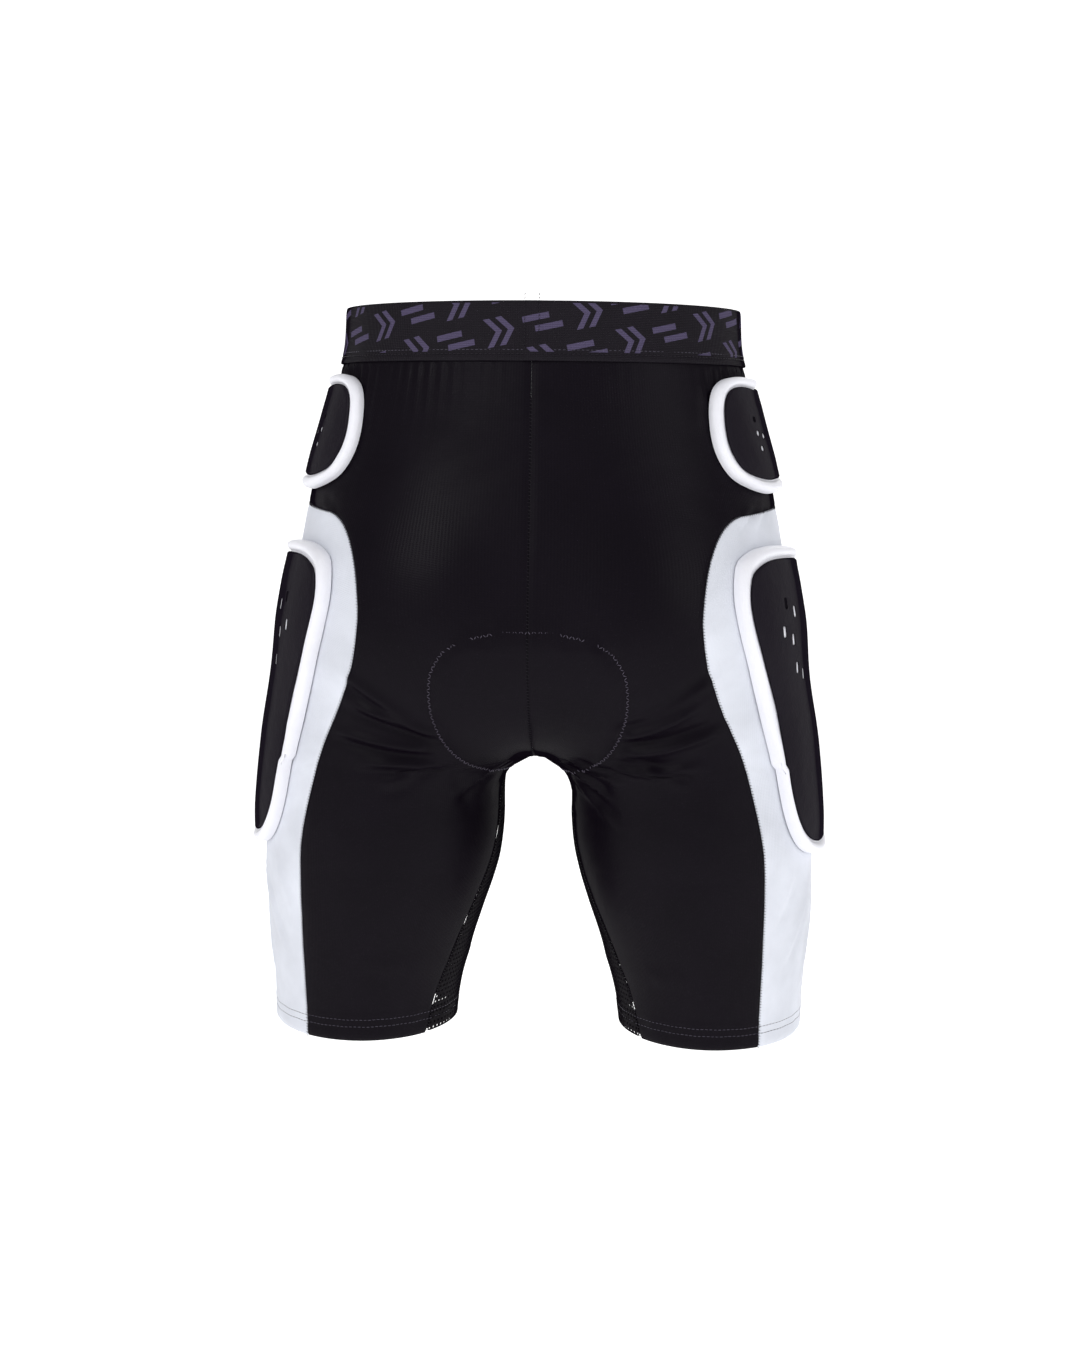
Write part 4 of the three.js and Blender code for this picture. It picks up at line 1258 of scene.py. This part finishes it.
@dataclass
class Waistband:
    """The wide woven elastic, joined at the centre back and top-stitched to the knit."""

    shop: Workshop
    height = 38.0
    gap: float = 0.5
    thickness: float = 1.8
    stitch_line: float = 4.2  # above the lower edge

    def loop(self, columns: int, levels: Array) -> tuple[Array, Array, Array]:
        """Places round the waist, from the centre back over the right side.

        Args:
            columns: how many round half of the waist.
            levels: the rings' levels below the top.

        Returns:
            Points of shape (rings, columns, 3), the lengths along the loop, and its whole length.
        """
        form = self.shop.form
        u, s = np.meshgrid(np.linspace(0, 1, columns), levels / form.hem)
        right = form.place(u, s).reshape(len(levels), columns, 3)
        left = right[:, -2:0:-1] * [-1, 1, 1]
        points = np.concatenate([right, left], axis=1)
        steps = np.linalg.norm(np.diff(points[0], axis=0, append=points[0][:1]), axis=1)
        along = np.concatenate([[0], np.cumsum(steps)[:-1]])
        return points, along, steps.sum()

    def build(self) -> None:
        """Makes the elastic, its centre-back join and its stitches."""
        shop = self.shop
        levels = -np.concatenate([[0, 0.35, 0.9, 1.8], np.linspace(3, self.height - 3, 22),
                                  self.height - np.array([1.8, 0.9, 0.35, 0])])
        points, along, whole = self.loop(190, levels)
        rows, columns, _ = points.shape
        flat = points.reshape(-1, 3)
        normals = shop.form.normals(flat)
        down = np.repeat(-levels, columns)
        length = np.tile(np.where(along > whole / 2, along - whole, along), rows)
        edge = np.minimum(down, self.height - down)
        crown = 0.55 * (1 - np.exp(-edge / 1.2)) + 0.12 * np.sin(length / 4.3) * smoothstep(down / 38)
        wave = 0.35 * np.sin(length / 6.8 + 0.9 * np.sin(length / 31)) * smoothstep((down - 22) / 16)
        join = 0.9 * np.exp(-((length / 5.5) ** 6))
        sewn = -0.5 * np.exp(-(((down - self.height + self.stitch_line) / 0.9) ** 2))
        high = self.gap + self.thickness - 0.55 + crown + wave * 0.6 + join + sewn
        low = np.full(len(flat), self.gap) + 0.3 * np.exp(-edge / 0.8) + wave * 0.2
        index = np.arange(rows * columns).reshape(rows, columns)
        after = np.roll(index, -1, axis=1)
        faces = np.stack([index[:-1], index[1:], after[1:], after[:-1]], axis=-1).reshape(-1, 4)
        patch = Patch(flat, normals, faces.tolist(), np.stack([length, -down], axis=1))
        solid, solid_faces = patch.solid(low, high)
        made = new_object(new_mesh("woven_waistband", solid, solid_faces,
                                   np.concatenate([patch.uv, patch.uv]), whole),
                          shop.material(BAND_ELASTIC))
        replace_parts(made, "waistband")
        LOG.info("waistband: %.0f mm round", whole)
        self.sew(points, levels)

    def sew(self, points: Array, levels: Array) -> None:
        """Top-stitches the lower edge, and both edges of the centre-back join."""
        shop = self.shop
        for k, inset in enumerate((self.stitch_line, self.stitch_line + 2.6)):
            line, _, _ = self.loop(190, np.array([-(self.height - inset)]))
            middle = shop.form.settle(spaced(line[0], 3.0, closed=True))
            out = shop.form.normals(middle)
            along = np.roll(middle, -1, axis=0) - np.roll(middle, 1, axis=0)
            shop.stitches(f"thread_band_row_{k + 1}", middle + out * (self.gap + self.thickness - 0.05),
                          out, along,
                          (2.3, 0.5, 0.45), HEM_THREAD if k else DARK_THREAD, "band_elastic")
        rises = []
        for x in (-4.6, 4.6):
            z = np.linspace(-1.5, -self.height + 1.5, 40)
            rises.append(np.stack([np.full(40, x), np.full(40, -100.0), z + 8], axis=1))
        middle = np.concatenate([spaced(shop.form.settle(r), 2.4) for r in rises])
        out = shop.form.normals(middle)
        shop.stitches("thread_band_join", middle + out * (self.gap + self.thickness + 0.75), out,
                      np.tile([0.35, 0, 1.0], (len(middle), 1)), (2.0, 0.5, 0.45), DARK_THREAD,
                      "band_elastic")


@dataclass
class LegHems:
    """The turned-up layer inside each leg opening, and its two rows of stitches."""

    shop: Workshop
    turn = 18.0
    rows = (10.0, 15.0)
    gap: float = 0.5
    layer: float = 1.0

    def build(self) -> None:
        """Makes both hems."""
        for half in Half:
            self.build_layer(half)
            self.build_rows(half)

    def build_layer(self, half: Half) -> None:
        """The inner layer of one hem, closed round the leg."""
        form = self.shop.form
        rings = 1 - np.linspace(self.turn, 2.4, 12) / -form.hem
        columns = 180
        u, s = np.meshgrid(np.linspace(0, 1, columns, endpoint=False), rings)
        points = form.place(u, s)
        index = np.arange(u.size).reshape(u.shape)
        after = np.roll(index, -1, axis=1)
        faces = np.stack([index[:-1], index[1:], after[1:], after[:-1]], axis=-1).reshape(-1, 4)
        uv = np.stack([u.ravel() * 410, s.ravel() * form.hem], axis=1)
        patch = Patch(points, form.normals(points), faces.tolist(), uv).mirrored(half)
        ripple = 0.15 * np.sin(uv[:, 0] / 3.1)
        high = np.full(len(points), -1.2 - self.gap) + ripple
        solid, solid_faces = patch.solid(high - self.layer, high)
        name = f"leg_hem_{half.suffix}"
        made = new_object(new_mesh(f"turned_{name}", solid, solid_faces,
                                   np.concatenate([patch.uv, patch.uv])),
                          self.shop.material(BLACK_KNIT))
        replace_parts(made, name)

    def build_rows(self, half: Half) -> None:
        """The two rows of coverstitch on the outside of one hem."""
        form = self.shop.form
        for k, above in enumerate(self.rows):
            u = np.linspace(0, 1, 240, endpoint=False)
            line = form.place(u, np.full(240, 1 - above / -form.hem)) * [half.value, 1, 1]
            middle = form.settle(spaced(line, 3.0, closed=True))
            points, out = self.shop.relief.lifted(middle, 0.12)
            along = np.roll(points, -1, axis=0) - np.roll(points, 1, axis=0)
            self.shop.stitches(f"thread_hem_{half.suffix}_row_{k + 1}", points, out, along, (2.4, 0.55, 0.4),
                               HEM_THREAD, "white_knit")


@dataclass
class MouldedPad:
    """A white foam pad with a rolled rim, and a black vented plate set into it."""

    shop: Workshop
    node: str
    height: float
    width: float
    lean: tuple[float, float]
    tilt: float
    roll: float
    core: float
    shape: tuple[tuple[float, float], ...]
    vents: tuple[tuple[float, float], ...]
    vent_size: tuple[float, float]
    rim: float = 8.2
    crown: float = 0.0  # how far the rim's highest point stands above the outline's top
    stand_off: float = 1.05
    under: float = 0.5
    plate: float = 1.8
    fit: float = 0.4
    top: float = 0.0

    def __post_init__(self) -> None:
        """Reads the pad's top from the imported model."""
        self.top = round(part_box(f"{self.node}_foam_right")[1].z / MM - self.crown, 0)

    def outline(self, count: int) -> Array:
        """The pad's outline as (behind the side line, level), evenly spaced."""
        half = [(w * self.width / 2, self.top - t * self.height) for t, w in self.shape]
        front = [(-x, y) for x, y in half if x > 0][::-1]
        knots = np.array(half + front)
        t = np.linspace(0, 1, 24, endpoint=False)[:, None]
        parts = []
        for i in range(len(knots)):
            p0, p1, p2, p3 = (knots[(i + k) % len(knots)] for k in (-1, 0, 1, 2))
            m1, m2 = (p2 - p0) / 2, (p3 - p1) / 2
            cubic, square = 2 * p1 - 2 * p2 + m1 + m2, 3 * p2 - 3 * p1 - 2 * m1 - m2
            parts.append(cubic * t**3 + square * t**2 + m1 * t + p1)
        return self.resample(np.concatenate(parts), count)

    @staticmethod
    def resample(loop: Array, count: int) -> Array:
        """The given number of even steps round a closed outline."""
        closed = np.concatenate([loop, loop[:1]])
        along = np.concatenate([[0], np.cumsum(np.linalg.norm(np.diff(closed, axis=0), axis=1))])
        at = np.linspace(0, along[-1], count, endpoint=False)
        return np.stack([np.interp(at, along, closed[:, k]) for k in range(2)], axis=1)

    def place(self, flat: Array) -> Array:
        """Places on the form from (behind the pad's middle, level), on the leaning pad."""
        share = (self.top - flat[:, 1]) / self.height
        level = flat[:, 1] + self.tilt * flat[:, 0] * (1 - share)
        return self.shop.form.side_place(flat[:, 0] + lerp(*self.lean, share), level)

    def patch(self, margin: float, shares: Array, insets: Array, count: int = 150) -> tuple[Patch, Array]:
        """Rings from the pad's middle to its outline.

        Args:
            margin: the inset at which the inner rings end.
            shares: the inner rings' places between the middle and that inset.
            insets: the outer rings' distances inside the outline.
            count: how many places round a ring.

        Returns:
            The patch on the right side, and each place's distance inside the outline.
        """
        outline = self.outline(count)
        middle = np.array([0.0, self.top - self.height / 2])
        reach = np.linalg.norm(outline - middle, axis=1, keepdims=True)
        border = outline + (middle - outline) * margin / reach
        rings = [middle + (border - middle) * share for share in shares]
        rings += [outline + (middle - outline) * inset / reach for inset in insets]
        flat = np.concatenate([middle[None], *rings])
        depth = np.concatenate([[reach.min()], *[margin + (1 - s) * (reach[:, 0] - margin) for s in shares],
                                *[np.full(count, d) for d in insets]])
        faces = [[0, 1 + (k + 1) % count, 1 + k] for k in range(count)]
        for ring in range(len(rings) - 1):
            a, b = 1 + ring * count, 1 + (ring + 1) * count
            faces += [[a + k, a + (k + 1) % count, b + (k + 1) % count, b + k] for k in range(count)]
        points = self.place(flat)
        normals = self.shop.form.normals(points)
        a, b, c = (points[[f[k] for f in faces]] for k in range(3))
        if (np.cross(b - a, c - a) * normals[[f[0] for f in faces]]).sum() < 0:
            faces = [f[::-1] for f in faces]
        return Patch(points, normals, faces, flat), depth

    def build(self) -> None:
        """Makes the pad on both sides."""
        foam, foam_depth = self.patch(self.rim, np.linspace(0, 1, 16)[1:], np.linspace(self.rim, 0, 17)[1:])
        plate, plate_depth = self.patch(self.rim + self.fit + 2.5, np.linspace(0, 1, 22)[1:],
                                        self.rim + self.fit + np.array([2.0, 1.5, 1.0, 0.6, 0.3, 0.1, 0.0]))
        for half in Half:
            self.build_foam(half, foam, foam_depth)
            self.build_plate(half, plate, plate_depth)

    def build_foam(self, half: Half, patch: Patch, depth: Array) -> None:
        """The foam with its rolled rim, which swells a little unevenly."""
        angle = np.arctan2(patch.uv[:, 0], patch.uv[:, 1] - (self.top - self.height / 2))
        phase = 0.0 if half is Half.RIGHT else 1.7
        lumps = (np.sin(angle * 7 + phase) + 0.7 * np.sin(angle * 12 + 1 + 2 * phase)
                 + 0.4 * np.sin(angle * 23 + phase)) / 2.1
        centre = self.rim * (0.48 + 0.02 * lumps)
        rolled = self.roll * (1 + 0.035 * lumps) * np.sqrt(
            np.clip(1 - ((depth - centre) / (self.rim * 0.52)) ** 2, 0, 1))
        high = self.stand_off + np.where(depth > centre, np.maximum(rolled, self.core), rolled)
        low = np.full(len(depth), self.stand_off) - 0.25 * np.clip(1 - depth / 2, 0, 1)
        high = np.maximum(high, low + 0.7)
        own = patch.mirrored(half)
        points, faces = own.solid(low, high)
        name = f"{self.node}_foam_{half.suffix}"
        made = new_object(new_mesh(f"moulded_{name}", points, faces, np.concatenate([own.uv, own.uv])),
                          self.shop.material(WHITE_FOAM))
        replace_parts(made, name)
        LOG.info("%s: %d faces", name, len(faces))

    def build_plate(self, half: Half, patch: Patch, depth: Array) -> None:
        """The vented plate, pillowed a little, with its edge rounded over."""
        own = patch.mirrored(half)
        base = self.stand_off + self.core + self.under
        edge = depth - self.rim - self.fit
        bevel = 1.1 * np.clip(1 - edge / 1.5, 0, 1) ** 2
        pillow = 0.5 * smoothstep(edge / 18)
        uneven = 0.12 * np.sin(own.points[:, 1] / 9 + own.points[:, 2] / 13) * smoothstep(edge / 6)
        low = np.full(len(depth), base)
        high = low + self.plate - bevel + pillow + uneven
        points, faces = own.solid(low, high)
        name = f"{self.node}_plate_{half.suffix}"
        solid = new_mesh("plate", points, faces, np.concatenate([own.uv, own.uv]))
        source = bpy.data.objects.new("plate", solid)
        bpy.context.scene.collection.objects.link(source)
        across, tall = self.vent_size
        cutter = self.vent_plugs(half, base, (tall, across, 12), 0, "cutter")
        boolean = source.modifiers.new("vents", "BOOLEAN")
        boolean.operation, boolean.solver, boolean.object = "DIFFERENCE", "EXACT", cutter
        made = baked(source, f"moulded_{name}", self.shop.material(BLACK_FACE))
        bpy.data.objects.remove(cutter)
        made.data.shade_smooth()
        made.data.set_sharp_from_angle(angle=math.radians(50))
        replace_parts(made, name)
        reach = self.plate + self.under
        studs = self.vent_plugs(half, base - self.under + reach / 2 - 0.1,
                                (tall - 0.5, across - 0.5, reach), 1,
                                f"vent_foam_{self.node}_{half.suffix}")
        LOG.info("%s: %d vents", name, 2 * len(self.vents))

    def vent_plugs(self, half: Half, base: float, size: tuple[float, float, float], first: int,
                   name: str) -> bpy.types.Object:
        """Bars at the vents, before and behind the pad's middle.

        Args:
            half: the side.
            base: the height of the bars' middles above the form.
            size: their length upwards, width and height.
            first: the first vent that gets one.
            name: the new object's name.

        Returns:
            All the bars as one mesh.
        """
        vents = self.vents[first:]
        flat = np.array([(side * back, self.top - down) for back, down in vents for side in (1, -1)])
        points = self.place(flat)
        out = self.shop.form.normals(points)
        up = np.tile([0.0, 0.0, 1.0], (len(points), 1))
        flip = np.array([half.value, 1, 1])
        marks = marker_object((points + out * base) * flip, out * flip, up)
        length, width, height = (v * MM for v in size)
        return run_tree(marks, self.shop.tree(Repeat.PLUG), name, self.shop.material(WHITE_FOAM),
                        Length=length, Width=width, Height=height, Unevenness=0.0, Seed=3)


@dataclass
class SeatPad:
    """The foam seat pad inside, with the zigzag row that sews it to the knit."""

    shop: Workshop
    length = 330.0  # along the rise seam
    back_level = -210.0
    front_level = -262.0
    shape = ((0, 14), (0.02, 42), (0.045, 56), (0.09, 64), (0.16, 65), (0.22, 61), (0.28, 54),
             (0.36, 42), (0.42, 30), (0.5, 17), (0.62, 17), (0.8, 26), (0.93, 21), (1, 12))

    @classmethod
    def half_width(cls, t: Array) -> Array:
        """Half the pad's width at a share of its length."""
        return Profile(*((-a, b) for a, b in cls.shape))(-np.asarray(t, float))

    def from_cad(self, node: str, finish: Finish, levels: int, swell: float) -> bpy.types.Object:
        """A smoothed copy of a CAD layer, with a slight ripple over its faces.

        Args:
            node: the CAD node.
            finish: its cloth or foam.
            levels: how often its faces are divided.
            swell: how far its faces ripple in and out, in millimetres.

        Returns:
            The piece.
        """
        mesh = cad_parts[node].data.copy()
        work = bmesh.new()
        work.from_mesh(mesh)
        bmesh.ops.remove_doubles(work, verts=work.verts, dist=1e-6)
        crease = work.edges.layers.float.new("crease_edge")
        for edge in work.edges:
            if len(edge.link_faces) == 2 and edge.calc_face_angle() > math.radians(60):
                edge[crease] = 0.75
        work.to_mesh(mesh)
        work.free()
        source = bpy.data.objects.new("layer", mesh)
        bpy.context.scene.collection.objects.link(source)
        divide = source.modifiers.new("divide", "SUBSURF")
        divide.levels = divide.render_levels = levels
        made = baked(source, f"sewn_{node}", self.shop.material(finish))
        made.data.shade_smooth()
        count = len(made.data.vertices)
        places, normals = np.empty(count * 3, "f"), np.empty(count * 3, "f")
        made.data.vertices.foreach_get("co", places)
        made.data.vertices.foreach_get("normal", normals)
        places, normals = places.reshape(-1, 3), normals.reshape(-1, 3)
        x, y, z = places.T / MM
        rise = swell * MM * np.sin(x / 5.1 + z / 7) * np.sin(y / 6.3)
        made.data.vertices.foreach_set("co", (places + normals * rise[:, None]).ravel())
        made.data.update()
        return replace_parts(made, node)

    def build(self) -> None:
        """Makes the layers of the pad and sews it in."""
        base = self.from_cad("seat_pad_base", SEAT_CLOTH, 2, 0.05)
        cover = self.from_cad("seat_pad_cover", SEAT_CLOTH, 2, 0.12)
        for half in Half:
            lobe = self.from_cad(f"seat_pad_foam_{half.suffix}", SEAT_FOAM, 2, 0.15)
        self.sew()

    def sew(self) -> None:
        """The zigzag row round the pad, through the knit."""
        form, relief = self.shop.form, self.shop.relief
        t = np.linspace(0.004, 0.996, 260)
        right = form.rise_place(t, self.half_width(t))
        left = right[::-1] * [-1, 1, 1]
        outline = form.settle(spaced(np.concatenate([right, left]), 2.1, closed=True))
        points, out = relief.lifted(outline, 0.5)
        along = np.roll(points, -1, axis=0) - np.roll(points, 1, axis=0)
        along /= np.linalg.norm(along, axis=1, keepdims=True)
        zigzag = np.where(np.arange(len(points)) % 2, 1.0, -1.0)[:, None]
        self.shop.stitches("thread_seat_pad_zigzag", points, out, along + zigzag * 1.3 * np.cross(out, along),
                           (2.6, 0.6, 0.5), SEAT_THREAD, "seat_pad_cloth")


@dataclass
class CareLabel:
    """The blank label sewn inside the centre back."""

    shop: Workshop

    def build(self) -> None:
        """Makes the label from its CAD layer, with a slight ripple."""
        made = SeatPad(self.shop).from_cad("care_label", LABEL_CLOTH, 3, 0.05)


@dataclass
class Studio:
    """The pale floor, the soft lights and the camera."""

    azimuth: float = 4.0  # degrees round from straight behind, towards the wearer's right
    distance: float = 1.6
    eye_level: float = -0.07
    rows: int = 1350  # of the full frame
    scale: float = 0.0007  # metres at the object for each row
    roll: float = 0.5  # degrees
    floor_drop: float = 0.24
    sky: float = 0.42  # strength of the white surroundings
    paper_glow: float = 0.62

    def soft_light(self, name: str, place: tuple[float, float, float], size: float, power: float) -> None:
        """One large area light that faces the shorts."""
        lamp = bpy.data.lights.new(name, "AREA")
        lamp.shape, lamp.size, lamp.energy = "DISK", size, power
        made = bpy.data.objects.new(name, lamp)
        bpy.context.scene.collection.objects.link(made)
        made.location = place
        made.rotation_euler = (Vector((0, 0, -0.25)) - Vector(place)).to_track_quat("-Z", "Y").to_euler()

    def build(self) -> None:
        """Sets up the whole studio."""
        scene = bpy.context.scene
        scene.view_settings.view_transform = "Standard"
        world = bpy.data.worlds.new("white studio")
        world.use_nodes = True
        world.node_tree.nodes["Background"].inputs[0].default_value = (1, 1, 1, 1)
        world.node_tree.nodes["Background"].inputs[1].default_value = self.sky
        scene.world = world
        self.build_floor()
        self.soft_light("key", (-1.0, -1.7, 1.0), 1.0, 16)
        self.soft_light("fill", (1.6, -1.1, 0.4), 1.2, 8)
        self.soft_light("rear", (0.4, 1.8, 1.0), 1.6, 8)
        self.build_camera()

    def build_floor(self) -> None:
        """A pale sheet that curves up far behind the object."""
        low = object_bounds()[0].z - self.floor_drop
        profile = [(-9, 0), (7, 0), (8.2, 0.25), (8.9, 0.9), (9.2, 2), (9.2, 9)]
        points = np.array([(x, y, low + z) for y, z in profile for x in (-14, 14)]) / MM
        faces = [[2 * k, 2 * k + 1, 2 * k + 3, 2 * k + 2] for k in range(len(profile) - 1)]
        mesh = new_mesh("floor", points, faces)
        paper = bpy.data.materials.new("white paper")
        paper.use_nodes = True
        shader = paper.node_tree.nodes["Principled BSDF"]
        shader.inputs["Base Color"].default_value = linear("fafafa")
        shader.inputs["Roughness"].default_value = 0.9
        shader.inputs["Emission Color"].default_value = linear("ffffff")
        shader.inputs["Emission Strength"].default_value = self.paper_glow
        mesh.materials.append(paper)
        made = bpy.data.objects.new("floor", mesh)
        bpy.context.scene.collection.objects.link(made)
        made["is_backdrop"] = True

    def build_camera(self) -> None:
        """The camera, behind the object and level with the top of it."""
        data = bpy.data.cameras.new("camera")
        data.sensor_fit, data.sensor_height, data.clip_end = "VERTICAL", 36, 50
        data.lens = 36 * self.distance / (self.rows * self.scale)
        made = bpy.data.objects.new("camera", data)
        bpy.context.scene.collection.objects.link(made)
        angle = math.radians(self.azimuth)
        made.location = (self.distance * math.sin(angle), -self.distance * math.cos(angle), self.eye_level)
        aim = Vector((0.0, 0.0, self.aim_level()))
        turn = (aim - made.location).to_track_quat("-Z", "Y").to_matrix().to_4x4()
        made.rotation_euler = (turn @ Matrix.Rotation(math.radians(self.roll), 4, "Z")).to_euler()
        bpy.context.scene.camera = made

    def aim_level(self) -> float:
        """The height of the object's middle."""
        low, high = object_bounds()
        return (low.z + high.z) / 2 - 0.005


# Each half outline lists (share of the height below the top, share of the half width).
HIP_SHAPE = ((0, 0), (0, 0.5), (0.05, 0.77), (0.18, 0.92), (0.42, 1), (0.64, 0.99), (0.82, 0.87),
             (0.92, 0.64), (0.985, 0.32), (1, 0))
THIGH_SHAPE = ((0, 0), (0.004, 0.5), (0.026, 0.77), (0.06, 0.9), (0.145, 0.98), (0.29, 0.98), (0.49, 0.91),
               (0.67, 0.86), (0.82, 0.79), (0.91, 0.67), (0.965, 0.49), (0.993, 0.25), (1, 0))
# Each vent lies (behind the pad's middle, below its top), and again in front.
HIP_VENTS = ((21, 29), (20, 38), (12, 40), (19, 48))
THIGH_VENTS = ((29, 37), (19, 44), (36, 54), (27, 61), (25, 81), (16, 87))


def main() -> None:
    """Builds every sub-assembly in order."""
    logging.basicConfig(level=logging.INFO, format="%(name)s: %(message)s")
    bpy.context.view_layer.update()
    form = BodyForm()
    shop = Workshop(form, KnitRelief(form))
    Panels(shop).build()
    Waistband(shop).build()
    LegHems(shop).build()
    MouldedPad(shop, "hip_pad", height=77, width=117, lean=(12, 16), tilt=0, roll=6.8, core=3.6,
               shape=HIP_SHAPE, vents=HIP_VENTS, vent_size=(4.6, 4), crown=1.3).build()
    MouldedPad(shop, "thigh_pad", height=212, width=126, lean=(24, 14), tilt=0.18, roll=8.4, core=5,
               shape=THIGH_SHAPE, vents=THIGH_VENTS, vent_size=(4.4, 8), crown=0.4).build()
    SeatPad(shop).build()
    CareLabel(shop).build()
    Studio().build()


if __name__ == "__main__":
    main()
